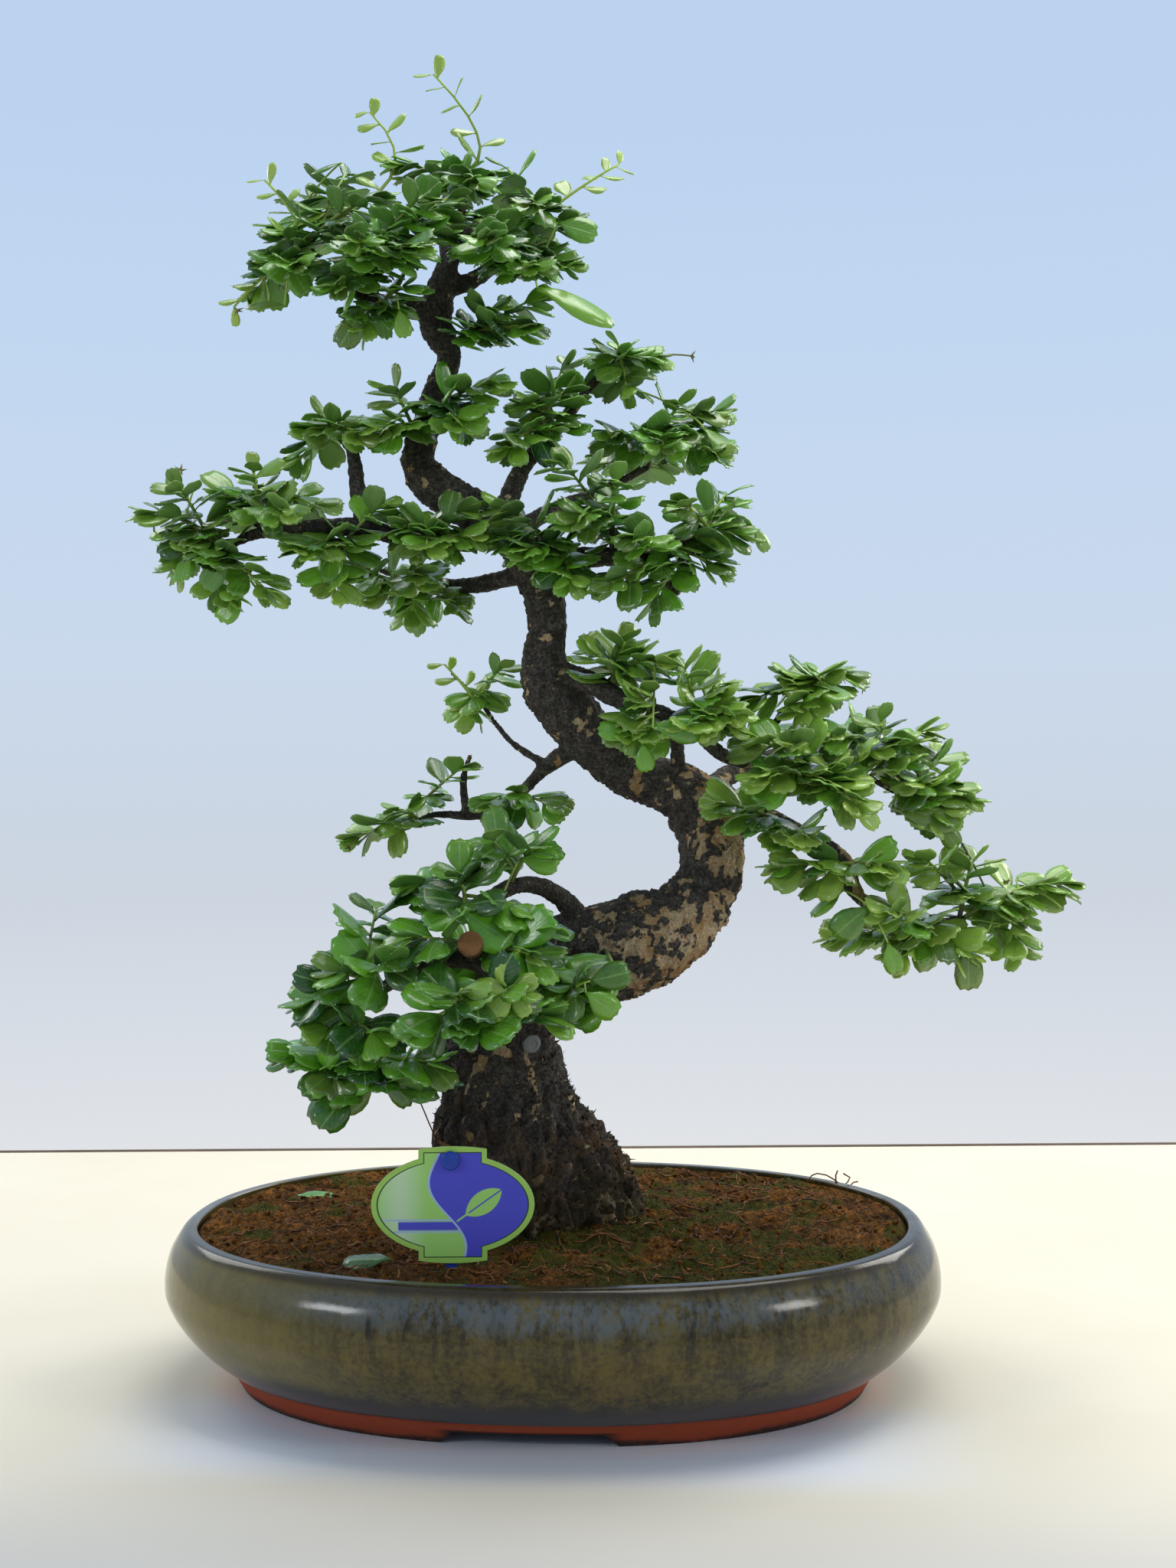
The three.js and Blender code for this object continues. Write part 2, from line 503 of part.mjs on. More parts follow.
// Leafy sprays: the limb that each grows from, the tips of its shoots, and the tips of its pale new shoots
const SPRAYS = {
  crown_west: ['crown_left', [[-140, -12, 534], [-117, -48, 537]], [[-151, -18, 524]]],
  crown_northwest: ['crown_left', [[-125, -26, 558], [-117, 6, 585]], [[-136, -16, 586]]],
  crown_brow: ['crown_left', [[-84, -76, 541], [-97, -58, 524], [-59, -84, 536], [-57, -58, 566]], []],
  crown_north: ['crown_left', [[-81, -30, 574], [-100, 14, 598]], [[-87, 8, 627]]],
  crown_top: ['trunk', [[-49, 26, 608], [-69, 0, 599], [-34, -34, 580]], [[-55, 6, 645]]],
  crown_northeast: ['crown_right', [[-6, -34, 570], [-19, 10, 600]], [[37, 8, 601]]],
  crown_east: ['crown_right', [[9, -30, 541], [10, -4, 570], [-6, -58, 533], [-27, -80, 540]], []],
  crown_rear: [
    'crown_back', [[-59, 84, 599], [-86, 66, 590], [-115, 46, 573], [-25, 70, 591], [-3, 44, 570]], [],
  ],
  crown_under: ['crown_left', [[-90, -24, 514], [-73, -8, 521]], []],
  crown_skirt: ['trunk', [[-9, -30, 511], [-26, -24, 522], [-4, 0, 533]], []],
  left_end: [
    'left_main', [[-189, -26, 424], [-173, -42, 433], [-179, -20, 398], [-154, -30, 383], [-132, -48, 384]],
    [],
  ],
  left_top: [
    'left_main', [[-140, -34, 443], [-160, -2, 437], [-123, -62, 420], [-151, 24, 429], [-117, 36, 435]], [],
  ],
  left_rise: ['left_up', [[-108, -8, 472], [-123, 6, 454], [-91, -28, 462]], []],
  left_belly: ['left_main', [[-101, -42, 385], [-114, -60, 402], [-79, -40, 425]], []],
  left_under: ['left_low', [[-84, 8, 388], [-69, 14, 377], [-47, -2, 381]], []],
  left_neck: ['trunk', [[-79, -28, 463], [-74, -12, 485]], []],
  left_inner: ['left_main', [[-56, -56, 404], [-38, -46, 409]], []],
  right_neck: ['trunk', [[-42, -26, 466], [-28, -20, 487]], []],
  right_inner: ['right_up', [[-8, 0, 481], [-18, -16, 457], [9, 12, 489], [9, 32, 506]], []],
  right_rise: ['right_up', [[37, 26, 514], [54, 30, 510], [41, 16, 491]], []],
  right_top: ['right_back', [[67, 28, 484], [86, 28, 482], [34, 14, 468], [82, 10, 458], [57, -8, 458]], []],
  right_end: ['right_main', [[92, -22, 414], [87, -12, 433], [65, -40, 425]], []],
  right_front: ['right_main', [[32, -44, 435], [8, -38, 445], [16, -62, 417]], []],
  right_belly: ['right_main', [[81, -30, 396], [42, -62, 407], [51, -38, 380], [30, -50, 386]], []],
  right_start: ['right_main', [[-10, -48, 403], [10, -46, 389], [-26, -38, 410]], []],
  right_rear: ['right_back', [[59, 76, 465], [30, 72, 464]], []],
  low_start: ['low_right_top', [[37, -24, 361], [23, -14, 357], [51, -38, 351]], []],
  low_second: ['low_right_top', [[79, -42, 338], [64, -48, 347], [84, -54, 325], [65, -60, 321]], []],
  low_drop: ['low_right_top', [[39, -46, 315], [48, -52, 335]], []],
  low_rise: ['low_right_rise', [[147, -2, 346], [125, -8, 343], [122, -26, 328], [99, -12, 332]], []],
  low_middle: ['low_right_top', [[144, -56, 281], [101, -56, 296], [116, -48, 311]], []],
  low_crest: ['low_right_top', [[185, -6, 317], [161, -24, 321], [139, -34, 315]], []],
  low_east: ['low_right_top', [[204, -8, 284], [195, 6, 305], [178, -30, 293], [191, -18, 272]], []],
  low_elbow: ['low_right', [[120, -46, 268], [83, -38, 283]], []],
  low_spur: ['low_right', [[158, -46, 252], [113, -24, 251]], []],
  low_shelf: ['low_right', [[207, -16, 252], [182, -30, 254]], []],
  low_tip: ['low_right', [[252, -6, 241], [227, -12, 227], [229, -18, 211]], []],
  low_fringe: ['low_right', [[201, -26, 210], [171, -28, 209], [141, -22, 218], [161, -48, 232]], []],
  low_rear: ['back_right', [[171, 96, 324], [142, 86, 320], [115, 66, 316], [200, 104, 308]], []],
  small_end: ['left_small', [[-77, 30, 279], [-98, 38, 265], [-44, 28, 301]], []],
  small_rise: ['left_small_up', [[-36, 22, 328], [-24, 16, 350]], [[-53, 28, 353]]],
  small_start: ['left_small', [[-28, 14, 282], [0, 10, 282]], []],
  base_arc: ['low_arc', [[-8, -48, 262], [-26, -50, 266]], []],
  base_arc_end: ['low_arc', [[-42, -64, 251], [-59, -56, 247], [-39, -84, 231], [-16, -68, 237]], []],
  base_west: ['low_left', [[-96, -66, 207], [-75, -84, 212], [-110, -60, 193], [-82, -46, 234]], []],
  base_end: ['low_left', [[-102, -66, 181], [-81, -80, 180]], []],
  base_front: [
    'low_front', [[-39, -110, 203], [-55, -104, 188], [-29, -112, 183], [-18, -106, 202], [-5, -84, 186]], [],
  ],
  base_top: ['low_left', [[-9, -86, 216], [7, -74, 226], [-61, -84, 224]], []],
  base_collar: ['trunk', [[29, -60, 208], [9, -72, 198], [24, -52, 186]], []],
  base_low: [
    'low_low', [[-120, -46, 165], [-102, -54, 157], [-92, -56, 146], [-70, -60, 150], [-57, -68, 165]], [],
  ],
  base_rear: ['low_left', [[-75, -6, 215], [-46, 4, 213]], []],
}

// A leaf past its narrow root, as cross-sections: share of its length, of its half width, and
// rise as a share of its length. The widest is at the side teeth, the next at the notches
// beside the middle tooth.
const LEAF_SECTIONS = [[0.76, 1, 0.01], [0.89, 0.42, -0.03]]
const LEAF_TIP_RISE = -0.1

// The leaf's own frame: along it, across it and out of its upper face, which looks the given way
function leafFrame(base, heading, facing) {
  const along = heading.clone().normalize()
  const skyward = facing.clone().addScaledVector(along, -along.dot(facing)).normalize()
  const across = skyward.clone().cross(along).normalize()
  return { base, along, across, skyward }
}

// Four corners square to a direction, counted round it from the right upper one
const CORNERS = [[1, 1], [-1, 1], [-1, -1], [1, -1]]

function cornersOf(middle, across, up, halfWidth, halfHeight) {
  return CORNERS.map(([side, top]) => middle.clone()
    .addScaledVector(across, side * halfWidth)
    .addScaledVector(up, top * halfHeight))
}

// Adds a leaf that grows out of the four given corners, which lie round its root
function addLeaf(points, triangles, rootLoop, leaf, fat) {
  const { frame, length, halfWidth } = leaf
  const halfThickness = LEAF_THICKNESS / 2 + fat
  const at = (share, rise) => frame.base.clone()
    .addScaledVector(frame.along, length * share)
    .addScaledVector(frame.skyward, length * rise)
  let loop = rootLoop
  for (const [share, width, rise] of LEAF_SECTIONS) {
    const reach = halfWidth * width + fat
    const corners = cornersOf(at(share, rise), frame.across, frame.skyward, reach, halfThickness)
    const next = corners.map((corner) => points.push(corner) - 1)
    loop.forEach((corner, index) => {
      const beside = (index + 1) % 4
      triangles.push(corner, loop[beside], next[beside], corner, next[beside], next[index])
    })
    loop = next
  }
  const tip = at(1, LEAF_TIP_RISE).addScaledVector(frame.along, fat)
  const top = points.push(tip.clone().addScaledVector(frame.skyward, halfThickness)) - 1
  const under = points.push(tip.clone().addScaledVector(frame.skyward, -halfThickness)) - 1
  triangles.push(loop[0], loop[1], top)
  triangles.push(loop[1], loop[2], under, loop[1], under, top)
  triangles.push(loop[2], loop[3], under)
  triangles.push(loop[3], loop[0], top, loop[3], top, under)
}

// The loop of root corners, started at the one that best fits the leaf's own right upper corner
function turnedLoop(points, loop, frame) {
  const wanted = cornersOf(frame.base, frame.across, frame.skyward, 1, 1)
  const misfit = (shift) => wanted.reduce((sum, corner, index) =>
    sum + corner.distanceTo(points[loop[(index + shift) % 4]]), 0)
  const shift = [0, 1, 2, 3].reduce((best, next) => (misfit(next) < misfit(best) ? next : best))
  return loop.map((corner, index) => loop[(index + shift) % 4])
}

// A leaf alone, closed at its root
function leafSolid(corners, leaf, fat) {
  const points = corners.map((corner) => corner.clone())
  const triangles = [0, 2, 1, 0, 3, 2]
  addLeaf(points, triangles, turnedLoop(points, [0, 1, 2, 3], leaf.frame), leaf, fat)
  return solidOf(points, triangles)
}

// Two directions square to a shoot: level, and the one above it
function roundShoot(heading) {
  const level = UPWARD.clone().cross(heading)
  if (level.length() < 0.05) level.set(1, 0, 0)
  level.normalize()
  return [level, heading.clone().cross(level)]
}

// Adds a four-sided twig that grows on from four root corners, with a ring of corners at each
// share of its curve after the root. What grows from it takes the place of one of its sides
// between two rings, or of its end.
function addShoot(points, triangles, rootLoop, shoot) {
  const { curve, shares, growths } = shoot
  const fat = shoot.fat ?? 0
  const rings = [rootLoop]
  for (const share of shares.slice(1)) {
    rings.push(shootCorners(curve, share, fat).map((corner) => points.push(corner) - 1))
  }
  const closeOrGrow = (loop, ring, side) => {
    const growth = growths.find((one) => one.ring === ring && one.side === side)
    if (growth) growth.addTo(points, triangles, loop)
    else triangles.push(loop[0], loop[1], loop[2], loop[0], loop[2], loop[3])
  }
  for (let ring = 0; ring + 1 < rings.length; ring += 1) {
    for (let side = 0; side < 4; side += 1) {
      const beside = (side + 1) % 4
      const loop = [rings[ring][side], rings[ring][beside], rings[ring + 1][beside], rings[ring + 1][side]]
      closeOrGrow(loop, ring, side)
    }
  }
  closeOrGrow(rings[rings.length - 1], rings.length - 1, END_SIDE)
}

// A twig closed at its root
function shootSolid(shoot, rootCorners) {
  const points = rootCorners.map((corner) => corner.clone())
  const triangles = [0, 2, 1, 0, 3, 2]
  const rootFrame = shootFrame(shoot.curve, 0)
  addShoot(points, triangles, turnedLoop(points, [0, 1, 2, 3], rootFrame), shoot)
  return solidOf(points, triangles)
}

function shootFrame(curve, share) {
  const along = curve.getTangent(share)
  const [across, skyward] = roundShoot(along)
  return { base: curve.getPoint(share), along, across, skyward }
}

// The corners of one side of a twig between two rings, or of its end
function sideCorners(shoot, ring, side) {
  const lower = shootCorners(shoot.curve, shoot.shares[ring], 0)
  if (side === END_SIDE) return lower
  const upper = shootCorners(shoot.curve, shoot.shares[ring + 1], 0)
  const beside = (side + 1) % 4
  return [lower[side], lower[beside], upper[beside], upper[side]]
}

function middleOf(corners) {
  return corners.reduce((sum, corner) => sum.add(corner), new THREE.Vector3()).divideScalar(corners.length)
}

function shootCorners(curve, share, fat) {
  const radius = THREE.MathUtils.lerp(TWIG_RADIUS, TWIG_TIP_RADIUS, share) / Math.SQRT2 + fat
  const [level, above] = roundShoot(curve.getTangent(share))
  return cornersOf(curve.getPoint(share), level, above, radius, radius)
}

// Places along a limb where a twig can start, the nearest to its tips first
function rootsOnLimb(stations, target) {
  const centres = stations.slice(1).map(([x, y, z]) => treePoint(x, y, z))
  const path = new THREE.CatmullRomCurve3(centres)
  const points = path.getPoints(stations.length * ROOT_STEPS_PER_STATION)
  points.sort((one, other) => one.distanceTo(target) - other.distanceTo(target))
  return points.filter((point, index) => index % 2 === 0).slice(0, ROOTS_TRIED)
}

// Boxes first, then solids
function clashes(solid, others, allowed) {
  const box = solid.boundingBox()
  return others.some((other) => {
    const apart = [0, 1, 2].some((axis) =>
      box.min[axis] > other.box.max[axis] || box.max[axis] < other.box.min[axis])
    return !apart && solid.intersect(other.solid).volume() > allowed
  })
}

function kept(solid) {
  return { solid, box: solid.boundingBox() }
}

// The least room left between two sprays, the volume that still counts as touching, and the
// height of a twig's bend as a share of its length
const SPACING = 0.22
const TOUCHING = 0.002
const TWIG_RISE = 0.16
const ROOT_STEPS_PER_STATION = 6
const ROOTS_TRIED = 8

// How far the middle of a twig is pushed up and sideways, as tried one after the other
const TWIG_BENDS = [[1, 0], [1, 0.8], [1, -0.8], [2.2, 0], [-0.6, 0], [0, 1.6], [0, -1.6], [3, 1.5]]

function bentCurve(root, tip, rise, sideways) {
  const length = root.distanceTo(tip)
  const [level] = roundShoot(tip.clone().sub(root).normalize())
  const bend = root.clone().lerp(tip, 0.5)
    .addScaledVector(UPWARD, length * TWIG_RISE * rise)
    .addScaledVector(level, length * TWIG_RISE * sideways)
  return new THREE.QuadraticBezierCurve3(root, bend, tip)
}

// The most of a twig's curve that its leafy tip and each fork take up, and of a side shoot's its tip
const MOST_TIP_SHARE = 0.12
const MOST_FORK_SHARE = 0.07
const MOST_SIDE_SHARE = 0.2

// Shares of a twig's curve at which it has rings: its forks, a pair of leaves and its leafy tip
function ringShares(length, forks, leafyMiddle) {
  const patch = Math.min(LEAF_ROOM / length, MOST_TIP_SHARE)
  const forkShares = Array.from({ length: forks }, (unused, fork) => FIRST_FORK + (FORK_REACH * fork) / forks)
  const middleShares = leafyMiddle ? [MIDDLE_LEAVES_AT] : []
  const forkPatch = Math.min(patch, MOST_FORK_SHARE)
  const shares = [...forkShares, ...middleShares].flatMap((share) => [share, share + forkPatch])
  return [0, ...(shares.length > 0 ? shares : [0.5]), 1 - patch, 1]
}

function findMainShoot(roots, tip, forks, leafyMiddle, neighbours) {
  for (const root of roots) {
    for (const [rise, sideways] of TWIG_BENDS) {
      const curve = bentCurve(root, tip, rise, sideways)
      const shares = ringShares(curve.getLength(), forks, leafyMiddle)
      const fat = shootSolid({ curve, shares, growths: [], fat: SPACING }, shootCorners(curve, 0, SPACING))
      if (!clashes(fat, neighbours, 0)) return { curve, shares, growths: [] }
    }
  }
  return null
}

// A side shoot out of the main one, by the side that looks most towards its tip
function findSideShoot(main, ring, tip, neighbours, siblings) {
  const frame = shootFrame(main.curve, main.shares[ring])
  const wanted = tip.clone().sub(frame.base).normalize()
  const outward = sideDirections(frame)
  const sides = [0, 1, 2, 3].sort((one, other) => outward[other].dot(wanted) - outward[one].dot(wanted))
  for (const side of sides.slice(0, 2)) {
    const corners = sideCorners(main, ring, side)
    const root = middleOf(corners)
    const curve = new THREE.QuadraticBezierCurve3(root, root.clone().lerp(tip, 0.5), tip)
    const patch = Math.min(LEAF_ROOM / curve.getLength(), MOST_SIDE_SHARE)
    const shoot = { curve, shares: [0, 1 - patch, 1], growths: [] }
    const fat = shootSolid({ ...shoot, fat: SPACING }, corners)
    if (clashes(fat, neighbours, 0) || clashes(shootSolid(shoot, corners), siblings, TOUCHING)) continue
    return { ...shoot, side, corners }
  }
  return null
}

// A twig's sides in the order of its corners: above, left, below and right. Its end is one more.
const END_SIDE = 4
const TIP_SIDES = [3, 1, END_SIDE, 0]
const MIDDLE_SIDES = [1, 3]
const LEAF_SPREADS = [1, 1.3, 0.75]
const LEAF_DROOP = [0.35, 0.7, 0]
const FACING_ALONG = 0.9

function sideDirections({ across, skyward }) {
  return [skyward, across.clone().negate(), skyward.clone().negate(), across]
}

function leafHeading(frame, side, spread, droop) {
  const heading = frame.along.clone()
  if (side === END_SIDE) {
    return heading.addScaledVector(frame.across, spread - 1).addScaledVector(UPWARD, -droop)
  }
  return heading.multiplyScalar(Math.cos(spread))
    .addScaledVector(sideDirections(frame)[side], Math.sin(spread))
    .addScaledVector(UPWARD, -droop)
}

// A leaf for one side of a twig, in the first of a few headings in which it meets nothing
function findLeaf(shoot, ring, side, size, neighbours, siblings) {
  const corners = sideCorners(shoot, ring, side)
  const base = middleOf(corners)
  const place = shootFrame(shoot.curve, shoot.shares[ring])
  const facing = place.along.clone().multiplyScalar(FACING_ALONG).add(UPWARD)
  for (const droop of LEAF_DROOP) {
    for (const spread of LEAF_SPREADS) {
      const frame = leafFrame(base, leafHeading(place, side, spread, droop), facing)
      const leaf = { frame, length: LEAF_LENGTH * size, halfWidth: LEAF_HALF_WIDTH * size }
      const free = !clashes(leafSolid(corners, leaf, SPACING), neighbours, 0)
      const solid = leafSolid(corners, leaf, 0)
      if (free && !clashes(solid, siblings, TOUCHING)) return { leaf, solid }
    }
  }
  return null
}

function growLeaves(shoot, slots, scale, random, neighbours, siblings) {
  for (const [ring, side] of slots) {
    const size = scale * (LEAST_LEAF + LEAF_SPREAD_IN_SIZE * random())
    const found = findLeaf(shoot, ring, side, size, neighbours, siblings)
    if (found) {
      siblings.push(kept(found.solid))
      const addTo = (points, triangles, loop) =>
        addLeaf(points, triangles, turnedLoop(points, loop, found.leaf.frame), found.leaf, 0)
      shoot.growths.push({ ring, side, addTo })
    }
  }
}

function tipSlots(shoot, random) {
  const count = random() < FOURTH_LEAF_SHARE ? 4 : 3
  const lastRing = shoot.shares.length - 1
  return TIP_SIDES.slice(0, count).map((side) => [side === END_SIDE ? lastRing : lastRing - 1, side])
}

const FIRST_SEED = 17
const SEED_STEP = 7919

// One spray: a forked twig with leaves round each tip, as one body
function spraySolid([limbName, tips, paleTips], seed, neighbours, woodMargin) {
  const random = randomFrom(seed)
  const stations = limbName === 'trunk' ? TRUNK : LIMBS[limbName]
  const shown = tips.slice(0, Math.max(2, Math.ceil(tips.length * SHOWN_SHARE)))
  const [mainTip, ...sideTips] = [...shown, ...paleTips].map(([x, y, z]) => treePoint(x, y, z))
  const clear = [...neighbours, kept(woodMargin)]
  const leafyMiddle = random() < LEAFY_MIDDLE_SHARE
  const roots = rootsOnLimb(stations, middleOf([mainTip, mainTip, ...sideTips]))
  const main = findMainShoot(roots, mainTip, sideTips.length, leafyMiddle, neighbours)
  const rootCorners = shootCorners(main.curve, 0, 0)
  const siblings = [kept(shootSolid(main, rootCorners))]
  const scaleOf = (index) => (index >= shown.length ? PALE_LEAF_SCALE : 1)
  growLeaves(main, tipSlots(main, random), scaleOf(0), random, clear, siblings)
  sideTips.forEach((tip, index) => {
    const ring = 1 + 2 * index
    const shoot = findSideShoot(main, ring, tip, neighbours, siblings)
    if (!shoot) return
    siblings.push(kept(shootSolid(shoot, shoot.corners)))
    growLeaves(shoot, tipSlots(shoot, random), scaleOf(index + 1), random, clear, siblings)
    const addTo = (points, triangles, loop) =>
      addShoot(points, triangles, turnedLoop(points, loop, shootFrame(shoot.curve, 0)), shoot)
    main.growths.push({ ring, side: shoot.side, addTo })
  })
  const middleRing = 1 + 2 * sideTips.length
  const middleSlots = MIDDLE_SIDES.map((side) => [middleRing, side])
  if (leafyMiddle) growLeaves(main, middleSlots, 1, random, clear, siblings)
  return largestBody(shootSolid(main, rootCorners).subtract(woodMargin))
}

// Two green leaves that have dropped on the soil
const FALLEN_LEAVES = {
  fallen_leaf_left: { x: -133, y: 52, heading: 0.45 },
  fallen_leaf_front: { x: -73, y: -90, heading: 3 },
}

// Lifted little by little until it lies just clear of the soil
function fallenLeafSolid({ x, y, heading }, soil) {
  const place = treePoint(x, y, 0)
  const liftStep = 0.2
  const mostLift = 12
  for (let lift = 0; lift < mostLift; lift += liftStep) {
    const base = new THREE.Vector3(place.x, place.y, soilHeight(place.x, place.y) + lift)
    const frame = leafFrame(base, new THREE.Vector3(Math.cos(heading), Math.sin(heading), 0), UPWARD)
    const corners = cornersOf(base, frame.across, frame.skyward, TWIG_TIP_RADIUS / 2, LEAF_THICKNESS / 2)
    const leaf = { frame, length: LEAF_LENGTH, halfWidth: LEAF_HALF_WIDTH }
    if (!clashes(leafSolid(corners, leaf, SPACING), [soil], 0)) return leafSolid(corners, leaf, 0)
  }
  throw new Error('no room for a fallen leaf')
}

// Colours and finishes

function finish(color, roughness) {
  return new THREE.MeshStandardMaterial({ color, roughness, metalness: 0 })
}

const GLAZE = () => finish(0x5d5a3c, 0.25)
const SOIL = () => finish(0x4a3222, 0.95)
const BARK = () => finish(0x3a2c20, 0.9)
const LEAF = () => finish(0x3f7a24, 0.35)
const CARD = () => finish(0x9fcc5c, 0.45)
const BLUE_PLASTIC = () => finish(0x1c2f9c, 0.4)
const BLACK_PLASTIC = () => finish(0x17181a, 0.6)

function named(name, solid, material) {
  const mesh = new THREE.Mesh(geometryFromSolid(solid), material)
  mesh.name = name
  return mesh
}

function buildBonsai() {
  const bonsai = new THREE.Group()
  bonsai.name = 'fukien_tea_bonsai'
  bonsai.add(named('pot', potSolid(), GLAZE()))
  bonsai.add(named('drain_mesh_left', screenSolid(-DRAIN_SPACING), BLACK_PLASTIC()))
  bonsai.add(named('drain_mesh_right', screenSolid(DRAIN_SPACING), BLACK_PLASTIC()))
  const woodMargin = woodSolid(CLEARANCE)
  const soil = soilSolid([woodMargin, stakeSolid(CLEARANCE)])
  bonsai.add(named('soil', soil, SOIL()))
  bonsai.add(named('wood', woodSolid(0), BARK()))
  bonsai.add(named('label_card', cardSolid(), CARD()))
  bonsai.add(named('label_stake', stakeSolid(0), BLUE_PLASTIC()))
  for (const [name, place] of Object.entries(FALLEN_LEAVES)) {
    bonsai.add(named(name, fallenLeafSolid(place, kept(soil)), LEAF()))
  }
  const neighbours = []
  Object.entries(SPRAYS).forEach(([name, spray], index) => {
    const seed = index * SEED_STEP + FIRST_SEED
    const solid = spraySolid(spray, seed, neighbours, woodMargin)
    neighbours.push(kept(solid))
    bonsai.add(named(name, solid, LEAF()))
  })
  const box = new THREE.Box3().setFromObject(bonsai)
  const middle = box.getCenter(new THREE.Vector3())
  bonsai.position.set(-middle.x, -middle.y, -box.min.z)
  return bonsai
}

export default buildBonsai()
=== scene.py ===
# %% [markdown]
# # A fukien tea bonsai in its oval pot
#
# The packed CAD model is the frame of this lesson. It has the pot, soil, trunk, label and leafy
# sprays at their real size, as plain faceted solids. Each cell below dresses one of them: a finer
# mesh of the same form, and a finish that is worked out from noise, place and height.
# Everything is in metres, and lists that are easier to think of in millimetres say so.

# %% Load the frame
import math
import random

import bmesh
import bpy
import numpy as np
from mathutils import Matrix, Vector, bvhtree, kdtree, noise


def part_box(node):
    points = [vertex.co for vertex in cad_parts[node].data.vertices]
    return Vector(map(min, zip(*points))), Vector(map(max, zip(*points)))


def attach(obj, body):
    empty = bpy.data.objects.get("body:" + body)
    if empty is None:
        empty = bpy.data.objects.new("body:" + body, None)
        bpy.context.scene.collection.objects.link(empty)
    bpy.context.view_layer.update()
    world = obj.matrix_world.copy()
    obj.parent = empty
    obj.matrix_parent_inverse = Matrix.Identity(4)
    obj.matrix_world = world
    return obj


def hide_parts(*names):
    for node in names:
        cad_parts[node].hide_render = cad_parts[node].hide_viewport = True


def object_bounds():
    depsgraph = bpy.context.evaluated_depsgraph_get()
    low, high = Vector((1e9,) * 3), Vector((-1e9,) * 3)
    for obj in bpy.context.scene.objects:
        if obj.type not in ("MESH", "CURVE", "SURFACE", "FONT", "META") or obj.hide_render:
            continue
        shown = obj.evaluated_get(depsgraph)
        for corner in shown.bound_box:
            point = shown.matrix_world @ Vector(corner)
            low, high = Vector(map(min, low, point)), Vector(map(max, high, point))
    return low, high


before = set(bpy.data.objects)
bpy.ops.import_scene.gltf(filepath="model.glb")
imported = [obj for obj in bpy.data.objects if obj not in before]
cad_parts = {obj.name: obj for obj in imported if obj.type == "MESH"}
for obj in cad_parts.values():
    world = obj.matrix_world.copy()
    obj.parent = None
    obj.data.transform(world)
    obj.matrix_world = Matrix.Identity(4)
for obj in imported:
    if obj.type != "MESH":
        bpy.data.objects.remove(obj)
cad_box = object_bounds()
MM = 0.001
pot_low, pot_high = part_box("pot")
pot_middle = (pot_low + pot_high) / 2
TREE_TURN = math.radians(6)
print("CAD box in mm:", [round(value / MM, 1) for value in (cad_box[1] - cad_box[0])])

# %% [markdown]
# The tree stands turned a little in its pot. Its lists hold millimetres from the pot's middle,
# with x to the right and y away from the front, so one helper turns them into places in the frame.
# Two more give a smooth line through listed points and a soft step from one value to another.

# %% Places in the frame
def tree_point(x, y, z):
    turned = Matrix.Rotation(TREE_TURN, 3, "Z") @ Vector((x, y, z))
    return turned * MM + Vector((pot_middle.x, pot_middle.y, 0))


def smooth_line(points, steps):
    """A smooth line through points of any number of values, with some steps to each stretch."""
    rows = np.array([points[0], *points, points[-1]], float)
    line = []
    for before, start, end, after in zip(rows, rows[1:], rows[2:], rows[3:]):
        for step in range(steps):
            t = step / steps
            line.append(0.5 * (2 * start + (end - before) * t
                               + (2 * before - 5 * start + 4 * end - after) * t ** 2
                               + (3 * start - before - 3 * end + after) * t ** 3))
    return [*line, rows[-1]]


def ease(value, low, high):
    """0 below low, 1 above high and a soft step between, for numbers and arrays."""
    share = np.clip((np.asarray(value, float) - low) / (high - low), 0, 1)
    return share * share * (3 - 2 * share)


print("the tree is turned by", round(math.degrees(TREE_TURN)), "degrees")

# %% [markdown]
# Some steps come back for every piece: adding a shape, opening it in edit mode, extruding it,
# closing it and applying a modifier. An operator acts on all that is selected, so each of these
# helpers says first what that is.

# %% Add, select and shape a piece
def take(piece):
    """Makes a piece the only selected one, and the active one."""
    bpy.ops.object.select_all(action="DESELECT")
    piece.select_set(True)
    bpy.context.view_layer.objects.active = piece


def linked(name, data):
    piece = bpy.data.objects.new(name, data)
    bpy.context.collection.objects.link(piece)
    return piece


def new_piece(add, name, **shape):
    """Adds one of Blender's own shapes, as the only selected piece."""
    bpy.ops.object.select_all(action="DESELECT")
    add(**shape)
    bpy.context.object.name = name
    return bpy.context.object


def set_in_place(piece):
    """Puts a piece's place, turn and size into its mesh."""
    take(piece)
    bpy.ops.object.transform_apply(location=True, rotation=True, scale=True)


def modify(piece, kind, **settings):
    """Sets a modifier on a piece and applies it."""
    take(piece)
    bpy.ops.object.modifier_add(type=kind)
    modifier = piece.modifiers[-1]
    for name, value in settings.items():
        setattr(modifier, name, value)
    bpy.ops.object.modifier_apply(modifier=modifier.name)


def open_edit(piece, wanted=None):
    """Starts edit mode with everything selected, or only the faces that are wanted."""
    bpy.ops.object.mode_set(mode="EDIT")
    bpy.ops.mesh.select_all(action="DESELECT" if wanted else "SELECT")
    if wanted:
        shape = bmesh.from_edit_mesh(piece.data)
        for face in shape.faces:
            face.select_set(wanted(face))
        bmesh.update_edit_mesh(piece.data)


def faces_up(face):
    return face.normal.z > 0.9


def extrude(move, wider=None, around=(0, 0, 0)):
    """Extrudes what is selected, and may resize the new end round a point."""
    bpy.ops.mesh.extrude_region_move(TRANSFORM_OT_translate={"value": move})
    if wider:
        bpy.ops.transform.resize(value=wider, center_override=around)


